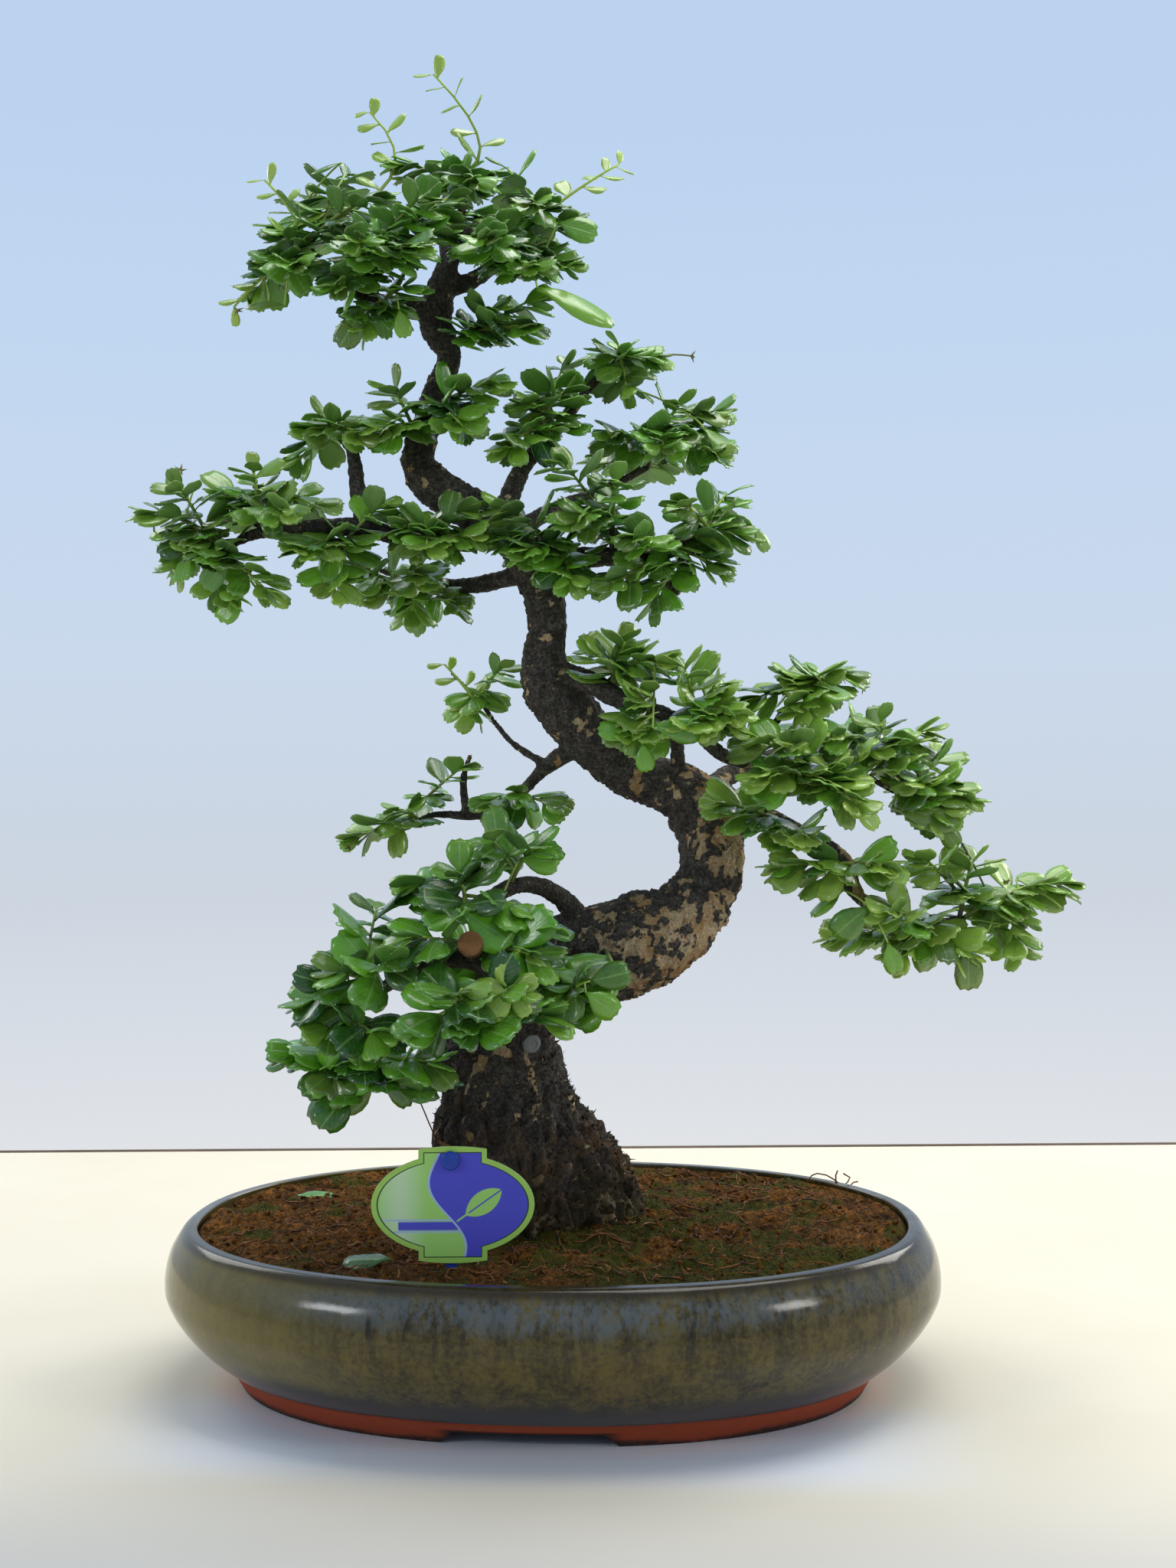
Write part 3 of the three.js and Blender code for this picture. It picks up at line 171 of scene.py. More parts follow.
def close_edit():
    """Turns every face outwards and leaves edit mode."""
    bpy.ops.mesh.select_all(action="SELECT")
    bpy.ops.mesh.normals_make_consistent(inside=False)
    bpy.ops.object.mode_set(mode="OBJECT")


# %% [markdown]
# Points go in and out of a mesh as one array, which is quick enough for the bark's fine mesh. At the
# end each piece is handed to the frame: it gets its finishes, rides on the part's body and hides the
# CAD nodes that it is a finer form of.

# %% Points in and out, and the hand-over of a piece
def vertex_array(mesh):
    values = np.empty(len(mesh.vertices) * 3)
    mesh.vertices.foreach_get("co", values)
    return values.reshape(-1, 3)


def set_vertices(mesh, points):
    mesh.vertices.foreach_set("co", np.asarray(points, float).ravel())
    mesh.update()


def set_attribute(mesh, name, values, domain="POINT"):
    attribute = mesh.attributes.get(name) or mesh.attributes.new(name, "FLOAT", domain)
    attribute.data.foreach_set("value", np.asarray(values, float))


def finish_piece(piece, finishes=(), nodes=()):
    """Sets a piece's finishes, puts its place in its mesh and lets it ride on the frame."""
    set_in_place(piece)
    if finishes:
        piece.data.materials.clear()
        for finish in finishes:
            piece.data.materials.append(finish)
    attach(piece, "root")
    if nodes:
        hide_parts(*nodes)
    piece.data.calc_loop_triangles()
    print(piece.name, len(piece.data.loop_triangles), "triangles")


# %% [markdown]
# ## Writing materials as sums
#
# A material is a graph of nodes, and long graphs are hard to read as links. A small class wraps a
# socket, so that `speckle * 0.4 + streaks` adds the Math nodes by itself. Colours go through Mix
# nodes instead, because a Math node would turn them grey.

# %% A value that does arithmetic
class Shade:
    """A value on its way through a finish's nodes."""

    def __init__(self, finish, socket):
        self.finish = finish
        self.socket = socket

    def __add__(self, other):
        return self.finish.math("ADD", self, other)

    def __radd__(self, other):
        return self.finish.math("ADD", other, self)

    def __sub__(self, other):
        return self.finish.math("SUBTRACT", self, other)

    def __rsub__(self, other):
        return self.finish.math("SUBTRACT", other, self)

    def __mul__(self, other):
        return self.finish.math("MULTIPLY", self, other)

    def __rmul__(self, other):
        return self.finish.math("MULTIPLY", other, self)

    def __pow__(self, other):
        return self.finish.math("POWER", self, other)


print("operators that work from both sides:", [name for name in vars(Shade) if name.startswith("__r")])

# %% [markdown]
# A finish is a material's node tree with a few words of its own, such as noise, step and mix. Its
# nodes come from one method, which first says what a node does and then fills its sockets. The sizes
# of patterns and the depths of reliefs are in millimetres.

# %% A finish and its nodes
def set_stops(elements, stops):
    """Gives a ramp its stops, each a place from 0 to 1 and a colour."""
    while len(elements) < len(stops):
        elements.new(0.5)
    for element, (place, colour) in zip(elements, stops):
        element.position = place
        element.color = colour


class Finish:
    """A material or a world under construction, with the few kinds of node that are needed."""

    def __init__(self, name, owner=None):
        self.owner = owner or bpy.data.materials.new(name)
        self.owner.use_nodes = True
        self.nodes = self.owner.node_tree.nodes
        self.links = self.owner.node_tree.links
        self.nodes.clear()

    def node(self, kind, settings=None, inputs=None, output=0):
        made = self.nodes.new(kind)
        for name, value in (settings or {}).items():
            if name == "stops":
                set_stops(made.color_ramp.elements, value)
            else:
                setattr(made, name, value)
        for key, value in (inputs or {}).items():
            if isinstance(value, Shade):
                self.links.new(value.socket, made.inputs[key])
            else:
                made.inputs[key].default_value = value
        return Shade(self, made.outputs[output])

    def math(self, operation, *values):
        return self.node("ShaderNodeMath", {"operation": operation}, dict(enumerate(values)))

    def vector(self, operation, *values, output=0):
        return self.node(
            "ShaderNodeVectorMath", {"operation": operation}, dict(enumerate(values)), output)

    def place(self, stretch=(1, 1, 1), shift=(0, 0, 0)):
        """Object coordinates, stretched for patterns that run one way."""
        here = self.node("ShaderNodeTexCoord", output="Object")
        return self.vector("MULTIPLY", self.vector("SUBTRACT", here, shift), stretch)

    def noise(self, size, detail=3, roughness=0.55, stretch=(1, 1, 1), distortion=0):
        """Soft noise from 0 to 1, with lumps about size millimetres across."""
        return self.node("ShaderNodeTexNoise", None, {
            "Vector": self.place(stretch), "Scale": 1 / (size * MM), "Detail": detail,
            "Roughness": roughness, "Distortion": distortion})

    def axis(self, name):
        """One object coordinate in millimetres."""
        return self.node("ShaderNodeSeparateXYZ", None, {0: self.place((1 / MM,) * 3)}, name)

    def attribute(self, name):
        return self.node("ShaderNodeAttribute", {"attribute_name": name}, output="Fac")

    def step(self, value, low, high):
        """0 below low and 1 above high, with a soft step between."""
        return self.node("ShaderNodeMapRange", {"interpolation_type": "SMOOTHSTEP"}, {
            "Value": value, "From Min": low, "From Max": high})

    def mix(self, factor, first, second):
        return self.node("ShaderNodeMix", {"data_type": "RGBA"}, {
            0: factor, 6: first, 7: second}, 2)

    def bump(self, height, depth, strength):
        """A normal from a height, where depth is the height of 1 in millimetres."""
        return self.node("ShaderNodeBump", None, {
            "Height": height, "Distance": depth * MM, "Strength": strength})

    def end(self, shader, output):
        self.links.new(shader.socket, self.nodes.new(output).inputs["Surface"])
        return self.owner

    def surface(self, colour, roughness, relief=None, **more):
        """The finished material. Relief is a height, its depth in millimetres and a strength."""
        inputs = {"Base Color": colour, "Roughness": roughness}
        if relief:
            inputs["Normal"] = self.bump(*relief)
        for name, value in more.items():
            inputs[name.replace("_", " ")] = value
        shader = self.node("ShaderNodeBsdfPrincipled", None, inputs)
        return self.end(shader, "ShaderNodeOutputMaterial")


def srgb(red, green, blue):
    """A colour as read off a screen, 0 to 255, as the renderer's own linear values."""
    shares = [value / 255 for value in (red, green, blue)]
    return (*(s / 12.92 if s <= 0.04045 else ((s + 0.055) / 1.055) ** 2.4 for s in shares), 1)


print("words of a finish:", [name for name in vars(Finish) if not name.startswith("_")])

# %% [markdown]
# ## The pot
#
# The real pot is thrown stoneware, pressed to an oval: a belly that overhangs an unglazed foot, and
# a rim rolled inwards. It could be a lathe shape scaled to an oval, but then the wall would be
# thinner at the sides. So one oval is drawn, and extruded and resized ring by ring along the
# pot's section, as a potter would follow a rib.

# %% The pot's section, in millimetres in from the widest oval, and height
HALF_LENGTH = (pot_high.x - pot_low.x) / 2 / MM
HALF_DEPTH = (pot_high.y - pot_low.y) / 2 / MM
POT_HEIGHT = (pot_high.z - pot_low.z) / MM
OVAL_POWER = 2.2
DEPTH_INSET_RATIO = 1.03
POT_SIDES = 144
FOOT_HEIGHT = 11.5
FOOT_SECTION = [(48, 7), (48, 0.6), (47.4, 0), (36.6, 0), (36, 0.6), (30.3, FOOT_HEIGHT - 0.6)]
BELLY_SECTION = [
    (30, FOOT_HEIGHT), (27.5, FOOT_HEIGHT + 1), (16.5, 22), (6.5, 34), (0.8, 45), (0, 54),
    (2.2, 65), (6.5, 73), (9.5, POT_HEIGHT - 0.7), (13, POT_HEIGHT), (15.5, POT_HEIGHT - 2),
    (9.5, 58), (10.5, 44), (19, 31), (44, 16),
]


def oval_place(angle, inset, height):
    power = 2 / OVAL_POWER
    cosine, sine = math.cos(angle), math.sin(angle)
    x = (HALF_LENGTH - inset) * math.copysign(abs(cosine) ** power, cosine)
    y = (HALF_DEPTH - inset * DEPTH_INSET_RATIO) * math.copysign(abs(sine) ** power, sine)
    return Vector((x, y, height)) * MM + Vector((pot_middle.x, pot_middle.y, 0))


def turned_oval(name, section, sides):
    """A closed body whose rings are ovals: extruded up and resized from each ring to the next."""
    piece = new_piece(bpy.ops.mesh.primitive_circle_add, name, vertices=sides, radius=1)
    inset, height = section[0]
    for vertex in piece.data.vertices:
        vertex.co = oval_place(math.atan2(vertex.co.y, vertex.co.x), inset, height)
    open_edit(piece)
    for next_inset, next_height in section[1:]:
        wider = (HALF_LENGTH - next_inset) / (HALF_LENGTH - inset)
        deeper = ((HALF_DEPTH - next_inset * DEPTH_INSET_RATIO)
                  / (HALF_DEPTH - inset * DEPTH_INSET_RATIO))
        extrude((0, 0, (next_height - height) * MM), (wider, deeper, 1), pot_middle)
        inset, height = next_inset, next_height
    bpy.ops.mesh.select_all(action="SELECT")
    bpy.ops.mesh.fill_holes(sides=0)
    close_edit()
    return piece


belly = [(max(inset, 0), min(height, POT_HEIGHT)) for inset, height in smooth_line(BELLY_SECTION, 5)]
pot = turned_oval("glazed_pot", FOOT_SECTION + belly, POT_SIDES)
print("rings on the pot:", len(FOOT_SECTION + belly))

# %% [markdown]
# The foot ring has a low arch in the middle of each long side, so that air and water pass under
# the pot, and the floor has two drain holes. They are cut with Boolean modifiers, from a block that
# narrows towards its top and from plain cylinders, and each cutter is thrown away afterwards.

# %% Cut the foot arches and the drain holes
GAP_BOTTOM, GAP_TOP, GAP_HEIGHT, GAP_REACH = 41, 34, 6.4, 60
ARCH_ROUNDING = 2
DRAIN_SPACING, DRAIN_RADIUS = 78, 11
DRAIN_CUT_MIDDLE, DRAIN_CUT_DEPTH = 12, 30


def cut(piece, cutter):
    modify(piece, "BOOLEAN", operation="DIFFERENCE", solver="EXACT", object=cutter)
    bpy.data.objects.remove(cutter)


def foot_arch(side):
    middle = pot_middle + Vector((0, side * (HALF_DEPTH - GAP_REACH / 2) * MM, 0))
    middle.z = GAP_HEIGHT / 2 * MM
    arch = new_piece(bpy.ops.mesh.primitive_cube_add, "arch", size=1, location=middle)
    arch.scale = (2 * GAP_BOTTOM * MM, GAP_REACH * MM, GAP_HEIGHT * MM)
    set_in_place(arch)
    for vertex in arch.data.vertices:
        if vertex.co.z > middle.z:
            vertex.co.x = pot_middle.x + (vertex.co.x - pot_middle.x) * GAP_TOP / GAP_BOTTOM
        else:
            vertex.co.z -= MM
    modify(arch, "BEVEL", width=ARCH_ROUNDING * MM, segments=3)
    return arch


for side in (-1, 1):
    cut(pot, foot_arch(side))
    drain_place = (pot_middle.x + side * DRAIN_SPACING * MM, pot_middle.y, DRAIN_CUT_MIDDLE * MM)
    drill = new_piece(bpy.ops.mesh.primitive_cylinder_add, "drill", vertices=40,
                      radius=DRAIN_RADIUS * MM, depth=DRAIN_CUT_DEPTH * MM, location=drain_place)
    cut(pot, drill)
take(pot)
bpy.ops.object.shade_smooth_by_angle(angle=math.radians(32))
print("faces on the cut pot:", len(pot.data.polygons))

# %% [markdown]
# The glaze is a mottled olive that breaks to a cloudy grey blue on the shoulder and pools dark
# just above the foot. Part of that grey blue is a painted reflection of the pale wall, and so is
# part of the grey on the rim behind. Two short runs of it hang on the front. The foot is bare orange
# clay, dirty where it meets the table, with painted shade under its arches. Height does most of the
# work here, so the finish starts from the object's own Z and lets noise move every border up and down.

# %% The glaze and the bare clay
GLAZE_OLIVE = srgb(102, 88, 38)
GLAZE_PALE = srgb(132, 118, 56)
GLAZE_DEEP = srgb(50, 43, 20)
GLAZE_RUST = srgb(70, 44, 22)
SHOULDER_BLUE_AND_REFLECTION = srgb(98, 108, 114)
GLAZE_POOL = srgb(30, 32, 32)
RIM_GREY_AND_REFLECTION = srgb(104, 104, 100)
EDGE_BROWN = srgb(44, 32, 16)
BARE_CLAY = srgb(166, 72, 34)
DIRTY_CLAY = srgb(52, 34, 24)
GAP_SHADE = srgb(26, 16, 12)
RUNS = [(tree_point(60, -132, 57), 9), (tree_point(-79, -126, 60), 6)]
RUN_WIDTH, RUN_DEPTH = 1.7, 16


def glaze_finish():
    finish = Finish("olive_glaze")
    height = finish.axis("Z")
    cloud = finish.noise(38, 4, 0.6)
    speckle = finish.noise(2.6, 4, 0.7)
    curtain = finish.noise(9, 4, 0.65, (1, 1, 0.16))
    streak = finish.noise(2.4, 3, 0.7, (1, 1, 0.3))
    colour = finish.mix(finish.step(speckle * 0.5 + curtain * 0.5, 0.36, 0.64),
                        GLAZE_DEEP, GLAZE_OLIVE)
    colour = finish.mix(finish.step(streak, 0.56, 0.68) * finish.step(cloud, 0.42, 0.6) * 0.55,
                        colour, GLAZE_RUST)
    # The shoulder's grey blue: partly the glaze breaking, partly a painted reflection of the pale wall.
    shoulder = finish.step(height + curtain * 14 - 7, 55, 66) * (1 - finish.step(height, 70, 74) * 0.7)
    left_end = 1 - finish.step(finish.axis("X"), -175, -80)
    colour = finish.mix(left_end * 0.55, colour, GLAZE_PALE)
    shoulder = shoulder * (1 - finish.step(finish.axis("X"), 40, 130) * 0.6) * (1 - left_end * 0.8)
    colour = finish.mix(shoulder * finish.step(cloud * 0.5 + streak * 0.5, 0.38, 0.56) * 0.7,
                        colour, SHOULDER_BLUE_AND_REFLECTION)
    pool = 1 - finish.step(height + cloud * 9 - 4.5 + curtain * 4, 21, 33)
    colour = finish.mix(pool * 0.9, colour, GLAZE_POOL)
    behind = finish.step(finish.axis("Y"), -70, 10)
    # The grey on the rim behind: partly the glaze, partly a painted reflection of the pale wall.
    rim = finish.step(height + speckle * 3, 76.5, 79) * finish.step(cloud, 0.4, 0.6)
    colour = finish.mix(rim * 0.8 * behind, colour, RIM_GREY_AND_REFLECTION)
    brown_edge = finish.step(height + speckle * 3, 74, 77) * (1 - behind)
    colour = finish.mix(brown_edge * 0.75, colour, EDGE_BROWN)
    for place, length in RUNS:
        across = finish.place(shift=tuple(place))
        shape = (1 / (RUN_WIDTH * MM), 1 / (RUN_DEPTH * MM), 1 / (length * MM))
        reach = finish.vector("LENGTH", finish.vector("MULTIPLY", across, shape), output="Value")
        colour = finish.mix((1 - finish.step(reach + speckle * 0.5, 0.6, 1.6)) * 0.85,
                            colour, GLAZE_POOL)
    bare = 1 - finish.step(height + speckle * 0.7, 12.1, 12.9)
    grime = (1 - finish.step(height + cloud * 9 - 4, 2, 5)) * finish.step(speckle, 0.25, 0.5)
    clay = finish.mix(finish.noise(5, 4, 0.7) * 0.6, BARE_CLAY, srgb(136, 48, 24))
    middle = finish.math("ABSOLUTE", finish.axis("X") - pot_middle.x / MM)
    # Painted shade under the foot's arches: the clay there is mixed towards near black.
    arch_shade = (1 - finish.step(middle, 34, 44)) * (1 - finish.step(height, 7, 8))
    clay = finish.mix(grime, clay, DIRTY_CLAY)
    clay = finish.mix(arch_shade * 0.9, clay, GAP_SHADE)
    grain = finish.noise(1.1, 3, 0.7)
    hollow = finish.noise(24, 2, 0.5)
    relief = hollow * 0.7 + speckle * 0.12 * (1 - bare) + grain * 0.25 * bare
    return finish.surface(
        finish.mix(bare, colour, clay), bare * 0.66 + 0.09 + speckle * 0.1, (relief, 0.5, 0.8), IOR=1.46)


finish_piece(pot, [glaze_finish()], ["pot"])

# %% [markdown]
# ## Stage, light and camera
#
# They come early in the lesson so that every later piece can be looked at. The photograph was taken
# from a little right of the pot's front, less than a metre away and level with the middle of the
# trunk. The light is soft and mostly from above and behind, which gives the leaves their pale shine.

# %% Where the photograph was taken from
VIEW_DISTANCE = 950
VIEW_HEIGHT = 300
EYE = tree_point(0, -VIEW_DISTANCE, VIEW_HEIGHT)
TO_EYE = (EYE - tree_point(0, 0, VIEW_HEIGHT)).normalized()
FOCAL_PIXELS = 2500
AIM_RIGHT, AIM_DOWN = 50.6, 21.8
camera_turn = TREE_TURN - math.atan(AIM_RIGHT / FOCAL_PIXELS)
print("eye at", [round(value, 3) for value in EYE])

# %% [markdown]
# The table is pale, brighter just before the pot than nearer the camera, where it is darkened as
# painted shade, with a cool painted shadow in front of the pot's foot, and ends in a dusty trim.
# Both are blocks turned to the camera, so that the far edge runs level across the picture. They are
# only staged, which keeps them out of the part.

# %% The table
TABLE_FRONT, TABLE_BACK, TABLE_HALF = 0.95, 0.556, 1.3
TABLE_DEPTH, TABLE_ROUNDING = 0.04, 0.003
TRIM_DEPTH, TRIM_HEIGHT, TRIM_MIDDLE = 0.002, 0.022, -0.01


def floor_finish():
    finish = Finish("pale_cloth")
    weave = finish.noise(1.4, 2, 0.6)
    soft = finish.noise(120, 3, 0.5)
    across = finish.math("ABSOLUTE", finish.axis("X") - pot_middle.x / MM)
    # A cool painted shadow on the cloth, just in front of the pot's foot.
    close = finish.step(finish.axis("Y"), -168, -118) * (1 - finish.step(finish.axis("Y"), -70, -30))
    close = close * (1 - finish.step(across, 110, 220))
    # Painted shade: the cloth darkens towards the camera.
    near = 1 - finish.step(finish.axis("Y"), -330, -90)
    cloth = finish.mix(soft, srgb(238, 226, 200), srgb(248, 238, 216))
    cloth = finish.mix(near * 0.85, cloth, srgb(190, 189, 192))
    return finish.surface(
        finish.mix(close * 0.9, cloth, srgb(242, 247, 255)), weave * 0.15 + 0.75, (weave, 0.08, 0.4))


def trim_finish():
    finish = Finish("dusty_trim")
    dust = finish.noise(60, 3, 0.6)
    return finish.surface(finish.mix(dust, srgb(90, 82, 76), srgb(160, 140, 124)), 0.8)


def table_block(name, size, y, z):
    """A block of the table, turned to the camera, in metres from the pot's middle."""
    block = new_piece(bpy.ops.mesh.primitive_cube_add, name, size=1)
    block.matrix_world = (
        Matrix.Translation((pot_middle.x, pot_middle.y, 0)) @ Matrix.Rotation(camera_turn, 4, "Z")
        @ Matrix.Translation((0, y, z)) @ Matrix.Diagonal((*size, 1)))
    set_in_place(block)
    return block


floor = table_block("floor", (2 * TABLE_HALF, TABLE_FRONT + TABLE_BACK, TABLE_DEPTH),
                    (TABLE_BACK - TABLE_FRONT) / 2, -TABLE_DEPTH / 2)
modify(floor, "BEVEL", width=TABLE_ROUNDING, segments=3)
floor.data.materials.append(floor_finish())
trim = table_block("table_trim", (2 * TABLE_HALF, TRIM_DEPTH, TRIM_HEIGHT),
                   TABLE_BACK + TRIM_DEPTH / 2, TRIM_MIDDLE)
trim.data.materials.append(trim_finish())
print("table from", round(-TABLE_FRONT, 3), "to", round(TABLE_BACK, 3), "m")

# %% [markdown]
# A large soft lamp hangs over the plant, two small ones stand for windows in front of it, and two
# behind it give the leaves their pale shine.

# %% The lamps
LAMPS = {
    "ceiling": ((0.25, 0.3, 1.9), 0.2, (1.5, 1.1), 20, (1, 0.97, 0.91)),
    "left_window": ((-1.5, -1.3, 0.95), 0.3, (0.5, 0.35), 6, (0.95, 0.98, 1)),
    "right_window": ((1.6, -0.9, 1.0), 0.3, (0.4, 0.4), 5, (1, 0.98, 0.94)),
    "back_right": ((1.3, 1.2, 1.2), 0.3, (1.0, 0.8), 12, (1, 0.96, 0.88)),
    "back_left": ((-1.3, 0.9, 1.2), 0.3, (1.0, 0.8), 7, (1, 0.97, 0.92)),
}


def lamp(name, place, aim_height, size, watts, colour):
    light = bpy.data.lights.new(name, "AREA")
    light.shape = "RECTANGLE"
    light.size, light.size_y = size
    light.energy = watts
    light.color = colour
    holder = linked(name, light)
    holder.location = place
    towards = Vector((0, 0, aim_height)) - Vector(place)
    holder.rotation_euler = towards.to_track_quat("-Z", "Y").to_euler()


for name, facts in LAMPS.items():
    lamp(name, *facts)
print("lamps:", list(LAMPS))

# %% [markdown]
# The wall is plain, so it is only the world's background: a ramp of a few colours by height, which
# the camera sees at full strength. Where it lights the tree it is dimmed, more in front than behind.

# %% The wall
WALL_BOTTOM, WALL_TOP = -0.2, 0.32
WALL = [(-0.2, (226, 228, 231)), (-0.13, (215, 221, 229)), (-0.06, (204, 213, 224)),
        (0.06, (202, 217, 236)), (0.22, (193, 215, 241)), (0.32, (188, 211, 240))]
ROOM_SHADE, BACK_SHADE = 0.47, 0.9
SHADE_FRONT, SHADE_BACK = -0.5, 0.6


def room_world():
    """A wall whose colour changes with height, darker in front than behind when it lights the tree."""
    room = Finish("pale_room", bpy.data.worlds.new("pale_room"))
    sight = room.node("ShaderNodeTexCoord", output="Generated")
    height_share = room.node("ShaderNodeMapRange", None, {
        "Value": room.node("ShaderNodeSeparateXYZ", None, {0: sight}, "Z"),
        "From Min": WALL_BOTTOM, "From Max": WALL_TOP}, "Result")
    stops = [((height - WALL_BOTTOM) / (WALL_TOP - WALL_BOTTOM), srgb(*colour))
             for height, colour in WALL]
    ramp = room.node("ShaderNodeValToRGB", {"stops": stops}, {"Fac": height_share}, "Color")
    depth_share = room.node("ShaderNodeMapRange", None, {
        "Value": room.node("ShaderNodeSeparateXYZ", None, {0: sight}, "Y"),
        "From Min": SHADE_FRONT, "From Max": SHADE_BACK,
        "To Min": ROOM_SHADE, "To Max": BACK_SHADE}, "Result")
    seen = room.node("ShaderNodeLightPath", output="Is Camera Ray")
    light = room.node("ShaderNodeBackground", None, {
        "Color": ramp, "Strength": room.math("MAXIMUM", seen, depth_share)})
    return room.end(light, "ShaderNodeOutputWorld")


bpy.context.scene.world = room_world()
print("colours up the wall:", len(WALL))

# %% [markdown]
# The lens follows from the focal length in pixels that fitted the pot's rim and foot. The aim is
# given in the same pixels, right of the tree's middle and below the level of the eye.

# %% The camera
PICTURE_HEIGHT = 2048
CAMERA_ROLL = math.radians(-0.4)
SENSOR_HEIGHT = 36
camera_data = bpy.data.cameras.new("camera")
camera_data.sensor_fit = "VERTICAL"
camera_data.sensor_height = SENSOR_HEIGHT
camera_data.lens = FOCAL_PIXELS / PICTURE_HEIGHT * SENSOR_HEIGHT
camera = linked("camera", camera_data)
bpy.context.scene.camera = camera
bpy.context.scene.view_settings.view_transform = "Standard"
aim = (Matrix.Rotation(camera_turn, 4, "Z")
       @ Matrix.Rotation(math.pi / 2 - math.atan(AIM_DOWN / FOCAL_PIXELS), 4, "X")
       @ Matrix.Rotation(CAMERA_ROLL, 4, "Z"))
camera.matrix_world = Matrix.Translation(EYE) @ aim
print("lens in mm:", round(camera_data.lens, 1))

# %% [markdown]
# ## The soil
#
# The real fill is brown peat, fibrous and crumbly, mounded a little towards the trunk. A flat disc
# with a bump map would look like cork board at this distance, so the surface is a fine mesh, and
# each point of its top is lifted by a low mound, a ripple, lumps and crumbs.

# %% How high the soil stands, and where moss grows
SOIL_EDGE_HEIGHT = 75
SOIL_RISE = 11
MOUND_X, MOUND_REACH, MOUND_LENGTH_TO_DEPTH = -5, 120, 1.25
TRUNK_X = -9


def soil_height(x, y):
    """The plain height of the soil, in millimetres from the pot's middle."""
    mound = max(0.0, 1 - math.hypot(x - MOUND_X, y * MOUND_LENGTH_TO_DEPTH) / MOUND_REACH)
    ripple = 1.1 * math.sin(x * 0.071 + 1) * math.cos(y * 0.083) + 0.7 * math.sin(x * 0.15 - y * 0.12)
    return SOIL_EDGE_HEIGHT + SOIL_RISE * mound * mound * (3 - 2 * mound) + ripple


def soil_lumps(x, y):
    """Lumps, crumbs and grit on the soil, in millimetres."""
    lumps = noise.fractal(Vector((x / 17, y / 17, 0.3)), 0.9, 2.1, 3)
    crumbs = noise.ridged_multi_fractal(Vector((x / 6.5, y / 6.5, 4)), 0.8, 2.2, 3, 1.0, 2.0)
    return 2.4 * lumps + 1.5 * (crumbs - 1.2)


def soil_place(x, y, above=0.0):
    """A point on the finished soil, from millimetres in the pot's frame."""
    height = soil_height(x, y) + soil_lumps(x, y) + above
    return Vector((pot_middle.x + x * MM, pot_middle.y + y * MM, height * MM))


def moss_at(x, y):
    """How much moss grows at a place: most along the front and right, and close round the trunk."""
    patch = noise.fractal(Vector((x / 24, y / 24, 9)), 0.8, 2.1, 3)
    front = float(ease(-y, 15, 90) * ease(x, -60, 20)) * 0.3
    right = float(ease(x, 20, 60) * (1 - ease(x, 110, 150))) * 0.22
    collar = float(1 - ease(math.hypot(x - TRUNK_X, y), 52, 84)) * 0.35
    return 0.24 + 0.62 * patch + front + right + collar


print("soil at the trunk, in mm:", round(soil_height(TRUNK_X, 0), 1), "and at the rim:",
      round(soil_height(HALF_LENGTH, 0), 1))

# %% [markdown]
# The body is extruded ring by ring like the pot, from the floor up along the inside of the wall and
# then inwards over the top. Only the upper faces are subdivided, because the pot hides the rest.

# %% The body of the soil
SOIL_WALL = [(42, 17.8), (19.6, 31.6), (11.1, 44.6), (10.1, 58), (15.3, 73.2)]
SOIL_MOUTH_INSET = 15.4
SOIL_FLAT_TOP, SOIL_FINE_FROM = 76, 60
SOIL_TOP_SCALE, SOIL_TOP_SHRINK = 0.985, 0.735
SOIL_TOP_RINGS = 22
SOIL_SIDES = 150
SOIL_CUTS = 3


def inset_for(scale):
    return HALF_LENGTH - (HALF_LENGTH - SOIL_MOUTH_INSET) * scale


soil_top = [(inset_for(SOIL_TOP_SCALE - SOIL_TOP_SHRINK * ring / SOIL_TOP_RINGS), SOIL_FLAT_TOP)
            for ring in range(SOIL_TOP_RINGS + 1)]
soil = turned_oval("peat_soil", SOIL_WALL + soil_top, SOIL_SIDES)
open_edit(soil, lambda face: len(face.verts) == 4 and face.calc_center_median().z > SOIL_FINE_FROM * MM)
bpy.ops.mesh.subdivide(number_cuts=SOIL_CUTS)
bpy.ops.object.mode_set(mode="OBJECT")
soil_points = vertex_array(soil.data)
for point in soil_points:
    if point[2] > (SOIL_FLAT_TOP - 0.1) * MM:
        x, y = (point[0] - pot_middle.x) / MM, (point[1] - pot_middle.y) / MM
        point[2] = soil_place(x, y).z
set_vertices(soil.data, soil_points)
flat_soil = (soil_points - np.array(pot_middle)) / MM
set_attribute(soil.data, "moss", [moss_at(x, y) for x, y, _ in flat_soil])
set_attribute(soil.data, "low", [-soil_lumps(x, y) for x, y, _ in flat_soil])
take(soil)
bpy.ops.object.shade_smooth()
print("soil points:", len(soil_points))

# %% [markdown]
# Peat is dark where it is damp and rusty where dry fibres lie on top, and its low spots are darkened
# further as painted shade in the hollows. Along the front, under the rim, it is darkened as painted
# shade too. Moss has started in patches, mostly right of the trunk and along the front. The same
# noise that is dark in the colour is low in the bump, so that the crumbs read as crumbs.

# %% Peat and moss
PEAT_DARK = srgb(34, 22, 5)
PEAT_BROWN = srgb(110, 70, 18)
PEAT_RUST = srgb(158, 98, 34)
MOSS_GREEN = srgb(78, 84, 12)
MOSS_DARK = srgb(34, 38, 8)


